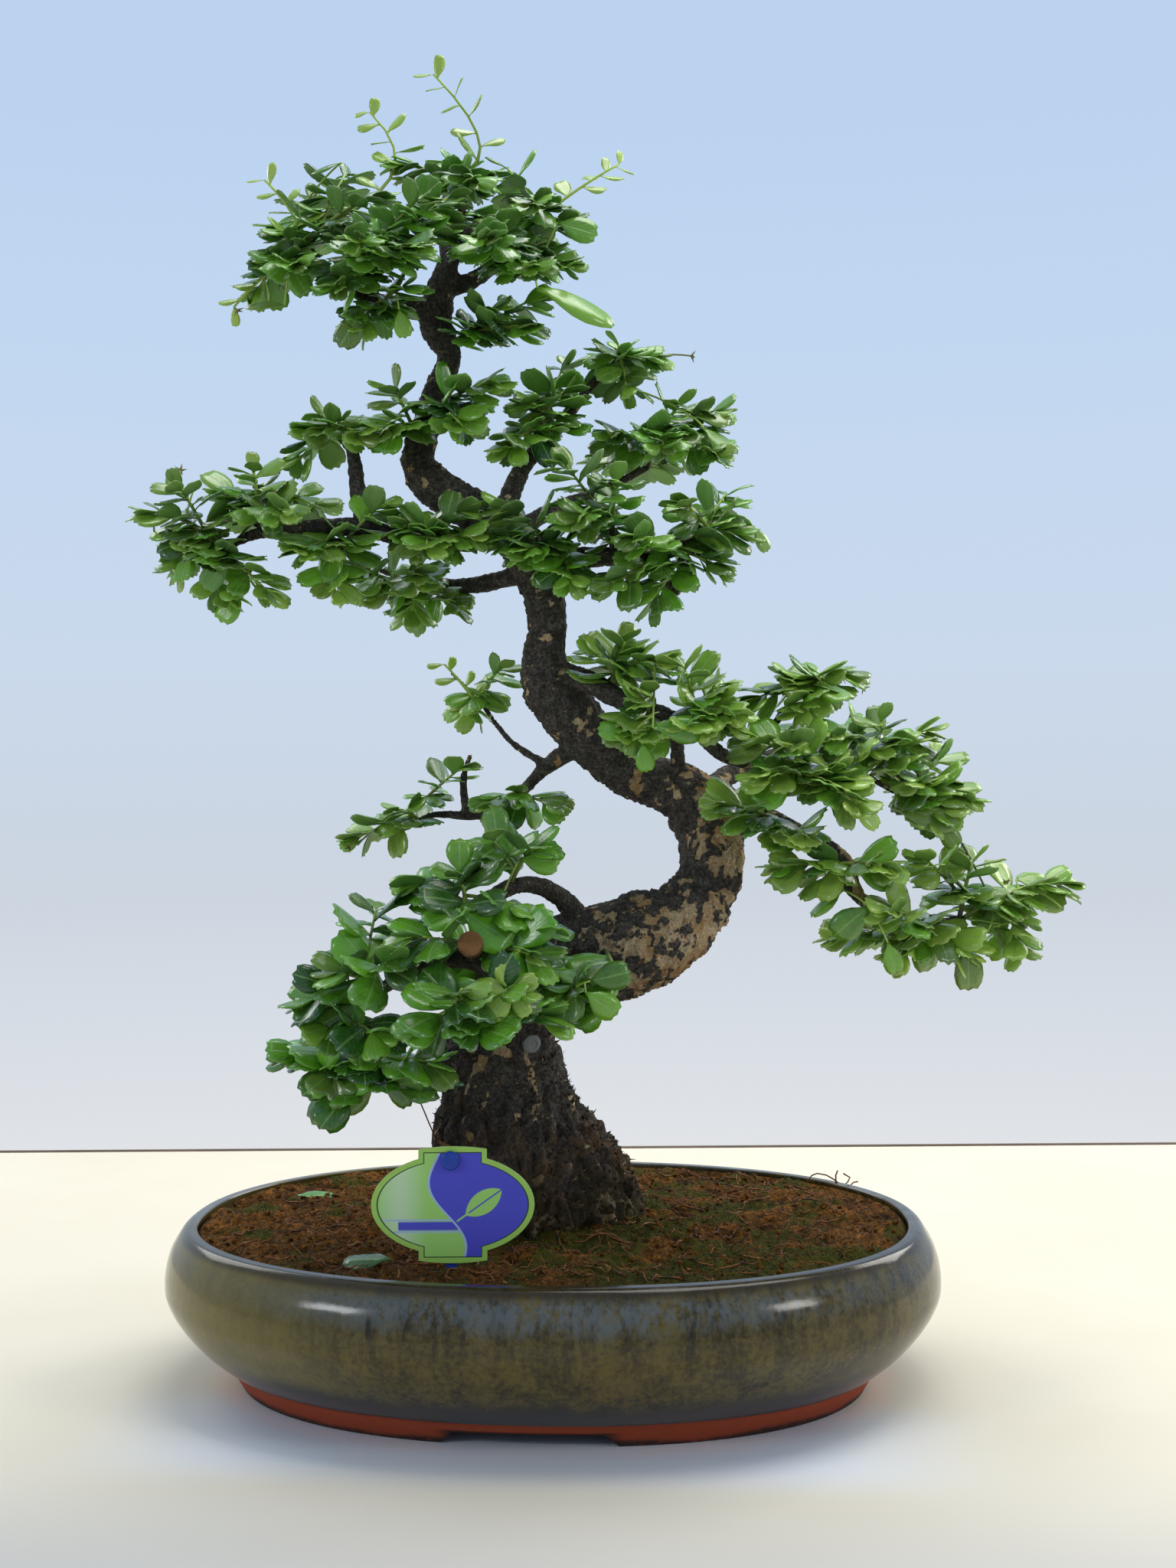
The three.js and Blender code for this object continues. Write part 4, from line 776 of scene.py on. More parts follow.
def soil_finish():
    finish = Finish("fibrous_peat")
    grit = finish.noise(2.2, 5, 0.75)
    fibres = finish.noise(3.2, 4, 0.7, (1, 0.45, 1), 1.6)
    damp = finish.noise(16, 3, 0.6)
    colour = finish.mix(finish.step(grit, 0.36, 0.62), PEAT_DARK, PEAT_BROWN)
    colour = finish.mix(finish.step(fibres + damp * 0.25, 0.62, 0.78) * 0.8, colour, PEAT_RUST)
    # Painted shade in the soil's low spots, together with damp patches.
    hollow_shade_and_damp = finish.step(finish.attribute("low") * 0.25 + damp, 0.5, 1.0)
    colour = finish.mix(hollow_shade_and_damp * 0.75, colour, PEAT_DARK)
    patches = finish.step(finish.attribute("moss") + grit * 0.35, 0.5, 0.75)
    moss = finish.mix(grit, MOSS_DARK, MOSS_GREEN)
    colour = finish.mix(patches * 0.8, colour, moss)
    # Painted shade on the soil along the front, under the rim.
    rim_shade = 1 - finish.step(finish.axis("Y") + damp * 20, -100, -70)
    colour = finish.mix(rim_shade * 0.4, colour, PEAT_DARK)
    return finish.surface(colour, 0.88, (grit * 0.7 + fibres * 0.5, 1.2, 0.9), Specular_IOR_Level=0.15)


soil_paint = soil_finish()
finish_piece(soil, [soil_paint], ["soil"])

# %% [markdown]
# ## The trunk and its branches
#
# The trunk is one piece of wood that grew: wide and rough at the soil, bent hard to the right, then
# back in an arch, and thin and dark above. Metaballs or a skin modifier would lose the measured
# thicknesses. Each limb is drawn as a curve with a radius at every point, turned into a tube, and a
# voxel remesh then grows the tubes together, which also rounds the forks as real wood does.

# %% Centre lines, in millimetres: x, y, z and radius
TRUNK = [
    [-12, 0, 50, 48], [-10, 0, 66, 52], [-9, 0, 84, 53], [-14, 0, 101, 47], [-20, 0, 118, 40],
    [-22, 0, 133, 35], [-24, 0, 149, 31], [-26, 0, 165, 28], [-21, -2, 182, 28], [-8, -4, 196, 26.5],
    [10, -6, 203, 25.5], [31, -8, 209, 25], [50, -8, 216, 23.5], [67, -5, 226, 19], [77, -2, 240, 16],
    [81, 1, 256, 16.5], [78, 5, 273, 16.5], [68, 7, 286, 15], [51, 8, 293, 13], [37, 7, 298, 12.5],
    [23, 5, 312, 13.5], [11, 2, 326, 14.5], [1, -2, 340, 14], [-2, -5, 355, 10.8], [-1, -7, 372, 10],
    [-5, -8, 394, 11], [-11, -7, 407, 11], [-24, -5, 419, 10.6], [-42, 0, 431, 10.4],
    [-57, 3, 441, 10.4], [-64, 5, 453, 8.4], [-60, 5, 470, 7.4], [-54, 4, 488, 6.9],
    [-48, 1, 504, 6], [-54, -4, 518, 8.4], [-52, -4, 535, 7.2], [-47, -2, 552, 4.6],
    [-43, 0, 568, 3], [-40, 0, 581, 1.7],
]
LIMBS = {
    "crown_left": [[-55, -5, 525, 6.4], [-81, -16, 527, 4.1], [-103, -21, 537, 2.8], [-122, -22, 550, 1.6]],
    "crown_right": [[-52, -5, 535, 4.9], [-36, 2, 542, 4.2], [-14, 11, 560, 2.5], [3, 14, 566, 1.6]],
    "crown_back": [[-48, 0, 550, 3.8], [-52, 25, 570, 3.1], [-57, 50, 585, 2]],
    "crown_front": [[-47, -4, 547, 3.8], [-40, -30, 553, 2.8], [-35, -55, 551, 1.7]],
    "left_main": [
        [-20, -4, 414, 6.4], [-44, -18, 411, 5.6], [-66, -26, 411, 4.8], [-93, -30, 416, 4.4],
        [-121, -30, 415, 3.6], [-140, -28, 413, 2.8], [-154, -26, 407, 1.8]],
    "left_up": [[-88, -28, 414, 4.1], [-92, -18, 436, 4.1], [-96, -8, 457, 3], [-109, -4, 469, 1.7]],
    "left_low": [[-10, -6, 396, 4.9], [-40, 8, 391, 4], [-66, 24, 395, 2.7], [-86, 34, 402, 1.6]],
    "right_main": [[-6, -6, 399, 6.4], [16, -16, 402, 5.2], [46, -25, 403, 4], [69, -28, 411, 2.2]],
    "right_stub": [[43, -24, 404, 4.1], [56, -26, 392, 3.3], [63, -28, 383, 2.8]],
    "right_up": [
        [-22, -4, 424, 5.7], [-12, 8, 450, 4.4], [8, 19, 474, 3], [21, 24, 492, 2.3], [37, 26, 508, 1.4]],
    "right_back": [[-17, -4, 416, 4.9], [5, 26, 432, 3.9], [29, 44, 444, 2.8], [53, 54, 457, 1.8]],
    "low_right": [
        [80, 2, 286, 9.2], [102, -9, 276, 6.2], [128, -23, 263, 5.2], [142, -26, 253, 5.2],
        [147, -26, 240, 4], [159, -24, 229, 2.7], [180, -20, 223, 2.2], [203, -16, 225, 1.5]],
    "low_right_top": [
        [4, -2, 346, 7.5], [19, -12, 342, 5.6], [40, -28, 330, 5.2], [55, -34, 324, 4.7],
        [70, -34, 318, 4], [83, -30, 306, 3.6], [104, -25, 300, 2.9], [132, -19, 298, 2.3],
        [154, -14, 295, 1.9], [171, -10, 286, 1.3]],
    "low_right_prop": [[64, 6, 294, 4.6], [63, -10, 309, 3.4], [59, -28, 321, 3.3]],
    "low_right_rise": [[92, -27, 301, 2.6], [105, -22, 315, 2.2], [125, -14, 339, 1.5]],
    "back_right": [
        [72, 6, 283, 7], [96, 40, 297, 5.1], [127, 62, 307, 4], [161, 76, 311, 2.5], [187, 84, 307, 1.7]],
    "left_small": [
        [18, 4, 314, 6], [-3, 17, 299, 3.8], [-15, 26, 287, 3], [-35, 32, 276, 2.7],
        [-60, 36, 276, 1.8], [-78, 38, 267, 1.3]],
    "left_small_up": [[0, 14, 301, 2.6], [-19, 22, 313, 1.7], [-36, 26, 335, 1.3], [-50, 28, 349, 1.1]],
    "left_small_mid": [[-42, 33, 275, 2.6], [-44, 30, 293, 2], [-40, 28, 307, 1.4]],
    "low_arc": [
        [15, -8, 222, 6.6], [6, -15, 236, 5], [-10, -28, 244, 4.2], [-24, -44, 241, 4],
        [-32, -53, 234, 3.6], [-40, -58, 229, 2.5]],
    "low_left": [
        [-10, -12, 190, 9.6], [-25, -40, 204, 6.2], [-40, -57, 211, 4.9], [-58, -62, 209, 4.2],
        [-72, -62, 202, 3.4], [-97, -54, 183, 1.5]],
    "low_front": [[-21, -20, 185, 8.2], [-28, -60, 188, 4.6], [-37, -84, 188, 2.8], [-44, -96, 188, 1.6]],
    "low_low": [
        [-32, -14, 170, 6.6], [-49, -28, 161, 4.1], [-65, -36, 160, 2.7], [-86, -41, 158, 2.1],
        [-111, -42, 164, 1.5]],
    "low_stub": [[-26, -44, 204, 5.4], [-33, -66, 214, 5], [-36, -82, 220, 4.7]],
    "base_stub": [[-40, -4, 149, 7.8], [-56, -8, 147, 5.8], [-64, -10, 147, 4.3]],
}
print("limbs and stubs:", len(LIMBS))

# %% [markdown]
# Between the listed stations a limb bends smoothly. All the tubes are first one mesh of crossing
# shells, and the remesh takes the outside of them as one skin.

# %% Turn the lines into wood
VOXEL = 1.42
BEND_STEPS = 6
SAME_POINT = 0.00001


def tubes(name, lines, bevel_resolution):
    """One mesh of round tubes. Each line holds rows of a place in metres and a radius in metres."""
    curve = bpy.data.curves.new(name, "CURVE")
    curve.dimensions = "3D"
    curve.bevel_depth = 1
    curve.bevel_resolution = bevel_resolution
    curve.use_fill_caps = True
    for line in lines:
        spline = curve.splines.new("POLY")
        spline.points.add(len(line) - 1)
        for point, (place, radius) in zip(spline.points, line):
            point.co = (*place, 1)
            point.radius = radius
    take(linked(name, curve))
    bpy.ops.object.convert(target="MESH")
    piece = bpy.context.object
    open_edit(piece)
    bpy.ops.mesh.remove_doubles(threshold=SAME_POINT)
    close_edit()
    return piece


limb_lines = {
    name: [(tree_point(x, y, z), radius * MM) for x, y, z, radius in smooth_line(stations, BEND_STEPS)]
    for name, stations in {"trunk": TRUNK, **LIMBS}.items()
}
wood = tubes("trunk_and_branches", limb_lines.values(), 6)
modify(wood, "REMESH", mode="VOXEL", voxel_size=VOXEL * MM)
print("wood points after the remesh:", len(wood.data.vertices))

# %% [markdown]
# The bark is worked into the mesh itself. Every point is pushed in or out along its normal: broad
# swellings, corky plates with cracks between them where the trunk is old, and long torn flakes
# near the soil. How far depends on how thick the limb is there, so that thin twigs stay smooth.
# Two attributes are kept for the finish: how bare and tan the cork is, and how mossy.

# %% Work the bark into the mesh
line_points = [(place, radius) for line in limb_lines.values() for place, radius in line]
nearest_line = kdtree.KDTree(len(line_points))
for index, (place, _) in enumerate(line_points):
    nearest_line.insert(place, index)
nearest_line.balance()
to_tree = Matrix.Rotation(-TREE_TURN, 3, "Z")
ARCH_MIDDLE = Vector((22, 0, 250))
ROOT_TOP = 135


def bark_at(place, normal):
    """How far a point of the bark stands out, and how tan and how mossy it is."""
    _, index, _ = nearest_line.find(place)
    radius = line_points[index][1] / MM
    here = to_tree @ (place - Vector((pot_middle.x, pot_middle.y, 0))) / MM
    facing = to_tree @ normal
    age = min(max((radius - 2.5) / 14, 0), 1)
    low = float(1 - ease(here.z, 105, 190))
    swelling = noise.noise(here / (6 + radius * 0.9)) * min(radius * 0.13, 2.2)
    swelling += noise.noise(here / 7.5 + Vector((0, 3, 0))) * 2.6 * low
    nearest, _ = noise.voronoi(Vector((here.x, here.y, here.z * 0.8)) / (2.5 + radius * 0.22))
    plates = float(ease(nearest[1] - nearest[0], 0.02, 0.3)) - 0.6
    flakes = noise.ridged_multi_fractal(
        Vector((here.x / 9, here.y / 9, here.z / 22)), 0.7, 2.3, 4, 1.0, 2.0) - 1.5
    flakes = min(flakes, 0.8)
    torn, _ = noise.voronoi(Vector((here.x / 8, here.y / 8, here.z / 26)) + facing * 0.2)
    splits = float(ease(torn[1] - torn[0], 0.02, 0.4)) - 0.75
    grain = noise.fractal(here / 2.6, 0.8, 2.2, 2)
    out = swelling + plates * (0.25 + 1.1 * age) * (1 - low)
    out += flakes * (0.25 + 1.6 * low) * age + splits * 3.2 * low + grain * (0.12 + 0.8 * age)
    if here.z < ROOT_TOP:
        angle = math.atan2(here.y, here.x + 14)
        out += (ROOT_TOP - here.z) / ROOT_TOP * 3.5 * math.cos(5 * angle + 2.4)
    from_arch = here - ARCH_MIDDLE
    outward = facing.dot(from_arch.normalized())
    in_arch = float(ease(here.z, 178, 200) * (1 - ease(here.z, 288, 312)) * ease(here.x, -5, 30))
    upper = float(ease(here.z, 300, 330)) * (0.04 if radius > 9 else 0)
    scar = math.hypot(here.x + 24, (here.z - 142) * 0.8) + 3 * noise.noise(here / 9)
    curl = max(0, 1 - abs(scar - 17) / 2.4) * float(ease(here.z, 132, 146) * ease(-facing.y, 0, 0.4))
    curl *= 0.5 + noise.noise(here / 4) + 0.5 * float(1 - ease(here.x, -26, -14))
    patches = float(ease(noise.fractal(here / 14 + Vector((4, 0, 0)), 0.9, 2.0, 3), 0.1, 0.6))
    lower = low * (patches * 0.5 - 0.06) + curl * 0.85
    tan = in_arch * (0.32 + 0.24 * outward) + upper + lower
    tan += 0.65 * noise.fractal(here / 8, 0.7, 2.2, 4) - 0.25 * plates
    moss = low * (0.75 + 0.5 * noise.noise(here / 13)) + 0.5 * float(1 - ease(here.z, 86, 118))
    return out, tan, moss


wood_points = vertex_array(wood.data)
wood_normals = np.empty(len(wood_points) * 3)
wood.data.vertex_normals.foreach_get("vector", wood_normals)
wood_normals = wood_normals.reshape(-1, 3)
bark = np.array([bark_at(Vector(place), Vector(normal))
                 for place, normal in zip(wood_points, wood_normals)])
set_vertices(wood.data, wood_points + wood_normals * bark[:, :1] * MM)
set_attribute(wood.data, "tan", bark[:, 1])
set_attribute(wood.data, "moss", bark[:, 2])
take(wood)
bpy.ops.object.shade_smooth()
print("bark stands out from", bark[:, 0].min().round(2), "to", bark[:, 0].max().round(2), "mm")

# %% [markdown]
# Old bark of this tree is nearly black and breaks off in flakes that leave tan and ochre cork
# behind. Both attributes are only a start: noise at the size of a flake decides where the border
# between black and tan really runs.

# %% The bark
BARK_BLACK = srgb(48, 43, 38)
BARK_GREY = srgb(104, 98, 88)
BARK_FIBRE = srgb(124, 90, 54)
CORK_TAN = srgb(206, 188, 152)
CORK_OCHRE = srgb(152, 116, 70)
CORK_ORANGE = srgb(132, 72, 36)
BARK_MOSS = srgb(50, 44, 18)


def bark_finish():
    finish = Finish("flaking_bark")
    flake = finish.noise(5.5, 5, 0.72, distortion=0.6)
    fine = finish.noise(1.5, 4, 0.7)
    broad = finish.noise(22, 3, 0.6)
    fibre = finish.noise(2.2, 4, 0.75, (1, 1, 0.35), 0.8)
    shaggy = finish.step(finish.attribute("moss") + flake * 0.5, 0.7, 1.1)
    colour = finish.mix(finish.step(fine * 0.6 + flake * 0.4, 0.42, 0.66), BARK_BLACK, BARK_GREY)
    brown = finish.mix(finish.step(fibre * 0.6 + broad * 0.4, 0.44, 0.64), BARK_BLACK, BARK_FIBRE)
    colour = finish.mix(shaggy * 0.8, colour, brown)
    cork = finish.mix(finish.step(broad * 0.5 + fine * 0.5, 0.4, 0.62), CORK_OCHRE, CORK_TAN)
    cork = finish.mix(finish.step(flake * 0.6 + broad * 0.4, 0.56, 0.66), cork, CORK_ORANGE)
    specks = finish.step(fibre * 0.5 + fine * 0.5, 0.53, 0.6)
    bared = finish.step(finish.attribute("tan") + flake * 0.9, 0.84, 0.96)
    colour = finish.mix(bared * (1 - specks * 0.75), colour, cork)
    mossy = finish.step(finish.attribute("moss") + flake * 0.5, 1.05, 1.45)
    colour = finish.mix(mossy * 0.75, colour, BARK_MOSS)
    return finish.surface(
        colour, 0.8 + fine * 0.15, (flake * 0.8 + fine * 0.3 + fibre * 0.3 - bared * 0.6, 1.4, 0.95),
        Specular_IOR_Level=0.3)


bark_paint = bark_finish()
finish_piece(wood, [bark_paint], ["wood"])

# %% [markdown]
# ## One leaf
#
# The leaves are thick, glossy and spoon shaped, about 22 mm long, with a blunt end cut into three
# teeth. One is modelled from a grid: each row is scaled to the leaf's width there, the last row is
# pulled into the teeth, and Solidify gives it a body. Thousands of copies follow, so the grid is
# coarse, and smooth shading with a groove in the finish does the rest.

# %% Model the leaf, one unit long and lying on its back
LEAF_ROWS = [(0.0, 0.1), (0.12, 0.24), (0.28, 0.66), (0.46, 0.93), (0.64, 1.0), (0.81, 0.88), (0.93, 0.6)]
LEAF_COLUMNS = 5
LEAF_HALF_WIDTH = 0.28
LEAF_BODY = 0.022
APEX = {-2: 0.008, -1: -0.01, 0: 0.055, 1: -0.01, 2: 0.008}


def model_leaf():
    leaf = new_piece(bpy.ops.mesh.primitive_grid_add, "leaf_model",
                     x_subdivisions=LEAF_COLUMNS - 1, y_subdivisions=len(LEAF_ROWS) - 1, size=2)
    bpy.ops.object.mode_set(mode="EDIT")
    blade = bmesh.from_edit_mesh(leaf.data)
    rows = sorted(blade.verts, key=lambda vertex: (round(vertex.co.y, 4), vertex.co.x))
    for row, (share, width) in enumerate(LEAF_ROWS):
        members = rows[row * LEAF_COLUMNS:(row + 1) * LEAF_COLUMNS]
        for vertex in blade.verts:
            vertex.select_set(vertex in members)
        bmesh.update_edit_mesh(leaf.data)
        bpy.ops.transform.resize(
            value=(width * LEAF_HALF_WIDTH, 1, 1), center_override=(0, 0, 0))
        bpy.ops.transform.translate(value=(0, share - members[0].co.y, 0))
    for column, vertex in enumerate(rows[-LEAF_COLUMNS:]):
        vertex.co.y += APEX[column - 2]
    bmesh.update_edit_mesh(leaf.data)
    bpy.ops.object.mode_set(mode="OBJECT")
    leaf.data.materials.append(None)
    leaf.data.materials.append(None)
    modify(leaf, "SOLIDIFY", thickness=LEAF_BODY, offset=-1, material_offset=1)
    under = [float(face.material_index == 1) for face in leaf.data.polygons]
    set_attribute(leaf.data, "underside", under, "FACE")
    for face in leaf.data.polygons:
        face.material_index = 0
    leaf.data.materials.clear()
    bpy.ops.object.shade_smooth()
    return leaf


leaf_model = model_leaf()
leaf_points = vertex_array(leaf_model.data)
print("faces on one leaf:", len(leaf_model.data.polygons), "points:", len(leaf_points))

# %% [markdown]
# A copy gets a mesh of its own, so that each leaf can droop, fold and twist a little differently.
# The droop rolls the leaf round an arc, and the fold lowers both halves beside the sunk midrib.

# %% Copy the leaf to a place
LEAF_DROOP, LEAF_FOLD, LEAF_TWIST = (0.1, 0.85), (0.1, 0.5), (-0.35, 0.35)
LEAF_BREADTH = (0.88, 1.12)
MIDRIB_SHARE, MIDRIB_DEPTH = 0.4, 0.16


def leaf_copy(root, heading, skyward, length, young, rng, breadth=1.0):
    along = heading.normalized()
    upper = (skyward - along * skyward.dot(along)).normalized()
    across = along.cross(upper)
    droop = rng.uniform(*LEAF_DROOP) * (1 - 0.4 * young)
    fold = rng.uniform(*LEAF_FOLD)
    twist = rng.uniform(*LEAF_TWIST)
    x, y, z = leaf_points.T
    side = np.abs(x) / LEAF_HALF_WIDTH
    x = x * breadth * rng.uniform(*LEAF_BREADTH)
    midrib = MIDRIB_DEPTH * np.clip(1 - side / MIDRIB_SHARE, 0, 1) * ease(y, 0.1, 0.3)
    lift = z - LEAF_HALF_WIDTH * (fold * side ** 2 + midrib)
    lift = lift + x * np.sin(twist * y)
    turn = droop * y
    bent_y = np.sin(turn) / droop + lift * np.sin(turn)
    bent_z = (np.cos(turn) - 1) / droop + lift * np.cos(turn)
    axes = np.array([across, along, upper])
    mesh = leaf_model.data.copy()
    points = np.array(root) + length * np.stack([x, bent_y, bent_z], 1) @ axes
    set_vertices(mesh, points)
    set_attribute(mesh, "young", np.full(len(points), young))
    set_attribute(mesh, "tint", np.full(len(points), rng.random()))
    return mesh


# %% [markdown]
# ## The sprays
#
# Each leafy spray of the CAD model is a forked twig with a rosette of leaves at every tip. The same
# roots and tips are used here, with every tip shown and more leaves round it. Leaves stand round a
# shoot at the golden angle. The youngest are small, pale and at the very end. A few sprays also have
# one long pale shoot.

# %% The limb and the shoot tips of each spray, in millimetres
SPRAYS = {
    "crown_west": ("crown_left", [(-140, -12, 534), (-117, -48, 537)]),
    "crown_northwest": ("crown_left", [(-125, -26, 558), (-117, 6, 585)]),
    "crown_brow": (
        "crown_left", [(-84, -76, 541), (-97, -58, 524), (-59, -84, 536), (-57, -58, 566),
         (-46, -40, 570), (-48, -42, 554)]),
    "crown_north": ("crown_left", [(-81, -30, 574), (-100, 14, 598)]),
    "crown_top": ("trunk", [(-49, 26, 608), (-69, 0, 599), (-34, -34, 580)]),
    "crown_northeast": ("crown_right", [(-6, -34, 570), (-19, 10, 600)]),
    "crown_east": (
        "crown_right", [(9, -30, 541), (10, -4, 570), (-6, -58, 533), (-27, -80, 540), (-24, -36, 560),
         (-38, -34, 550)]),
    "crown_rear": (
        "crown_back", [(-59, 84, 599), (-86, 66, 590), (-115, 46, 573), (-25, 70, 591), (-3, 44, 570)]),
    "crown_under": ("crown_left", [(-90, -24, 514), (-73, -8, 521), (-66, -42, 528)]),
    "crown_skirt": ("trunk", [(-9, -30, 511), (-26, -24, 522), (-4, 0, 533)]),
    "left_end": (
        "left_main", [(-189, -26, 424), (-173, -42, 433), (-179, -20, 398), (-154, -30, 383),
         (-132, -48, 384)]),
    "left_top": (
        "left_main", [(-140, -34, 443), (-160, -2, 437), (-123, -62, 420), (-151, 24, 429),
         (-117, 36, 435)]),
    "left_rise": ("left_up", [(-108, -8, 472), (-123, 6, 454), (-91, -28, 462)]),
    "left_belly": ("left_main", [(-101, -42, 385), (-114, -60, 402), (-79, -40, 425)]),
    "left_under": (
        "left_low", [(-84, 8, 388), (-69, 14, 377), (-47, -2, 381), (-62, -22, 394), (-94, -12, 397)]),
    "left_neck": ("trunk", [(-79, -28, 463), (-74, -12, 485)]),
    "left_inner": ("left_main", [(-56, -56, 404), (-38, -46, 409), (-66, -40, 416), (-40, -36, 424)]),
    "right_neck": ("trunk", [(-42, -26, 466), (-28, -20, 487)]),
    "right_inner": ("right_up", [(-8, 0, 481), (-18, -16, 457), (9, 12, 489), (9, 32, 506)]),
    "right_rise": ("right_up", [(37, 26, 514), (54, 30, 510), (41, 16, 491)]),
    "right_top": (
        "right_back", [(67, 28, 484), (86, 28, 482), (34, 14, 468), (82, 10, 458), (57, -8, 458)]),
    "right_end": ("right_main", [(92, -22, 414), (87, -12, 433), (65, -40, 425)]),
    "right_front": ("right_main", [(32, -44, 435), (8, -38, 445), (16, -62, 417)]),
    "right_belly": ("right_main", [(81, -30, 396), (42, -62, 407), (51, -38, 380), (30, -50, 386)]),
    "right_start": ("right_main", [(-10, -48, 403), (10, -46, 389), (-26, -38, 410), (-20, -40, 424)]),
    "right_rear": ("right_back", [(59, 76, 465), (30, 72, 464)]),
    "low_start": ("low_right_top", [(37, -24, 361), (23, -14, 357), (51, -38, 351)]),
    "low_second": ("low_right_top", [(79, -42, 338), (64, -48, 347), (84, -54, 325), (65, -60, 321)]),
    "low_drop": ("low_right_top", [(39, -46, 315), (48, -52, 335)]),
    "low_rise": ("low_right_rise", [(147, -2, 346), (125, -8, 343), (122, -26, 328), (99, -12, 332)]),
    "low_middle": (
        "low_right_top", [(144, -56, 281), (101, -56, 296), (116, -48, 311), (94, -44, 316),
         (134, -44, 300)]),
    "low_crest": ("low_right_top", [(185, -6, 317), (161, -24, 321), (139, -34, 315)]),
    "low_east": ("low_right_top", [(204, -8, 284), (195, 6, 305), (178, -30, 293), (191, -18, 272)]),
    "low_elbow": ("low_right", [(120, -46, 268), (83, -38, 283)]),
    "low_spur": ("low_right", [(158, -46, 252), (113, -24, 251)]),
    "low_shelf": ("low_right", [(207, -16, 252), (182, -30, 254)]),
    "low_tip": ("low_right", [(252, -6, 241), (227, -12, 227), (229, -18, 211)]),
    "low_fringe": ("low_right", [(201, -26, 210), (171, -28, 209), (141, -22, 218), (161, -48, 232)]),
    "low_rear": ("back_right", [(171, 96, 324), (142, 86, 320), (115, 66, 316), (200, 104, 308)]),
    "small_end": ("left_small", [(-77, 30, 279), (-98, 38, 265), (-44, 28, 301)]),
    "small_rise": ("left_small_up", [(-36, 22, 328), (-24, 16, 350)]),
    "small_start": ("left_small", [(-28, 14, 282), (0, 10, 282)]),
    "base_arc": ("low_arc", [(-8, -48, 262), (-26, -50, 266)]),
    "base_arc_end": ("low_arc", [(-42, -64, 251), (-59, -56, 247), (-39, -84, 231), (-16, -68, 237)]),
    "base_west": ("low_left", [(-96, -66, 207), (-75, -84, 212), (-110, -60, 193), (-82, -46, 234)]),
    "base_end": ("low_left", [(-102, -66, 181), (-81, -80, 180)]),
    "base_front": (
        "low_front", [(-39, -110, 203), (-55, -104, 188), (-29, -112, 183), (-18, -106, 202),
         (-5, -84, 186)]),
    "base_top": ("low_left", [(-9, -86, 216), (7, -74, 226), (-61, -84, 224)]),
    "base_collar": ("trunk", [(29, -60, 208), (9, -72, 198), (24, -52, 186)]),
    "base_low": (
        "low_low", [(-120, -46, 165), (-102, -54, 157), (-92, -56, 146), (-70, -60, 150),
         (-57, -68, 165)]),
    "base_rear": ("low_left", [(-75, -6, 215), (-46, 4, 213)]),
}
PALE_TIPS = {
    "crown_west": (-151, -18, 524), "crown_northwest": (-136, -16, 586), "crown_north": (-87, 8, 627),
    "crown_top": (-55, 6, 645), "crown_northeast": (37, 8, 601), "small_rise": (-53, 28, 353),
}
print("sprays:", len(SPRAYS), "shoot tips:", sum(len(tips) for _, tips in SPRAYS.values()) + len(PALE_TIPS))
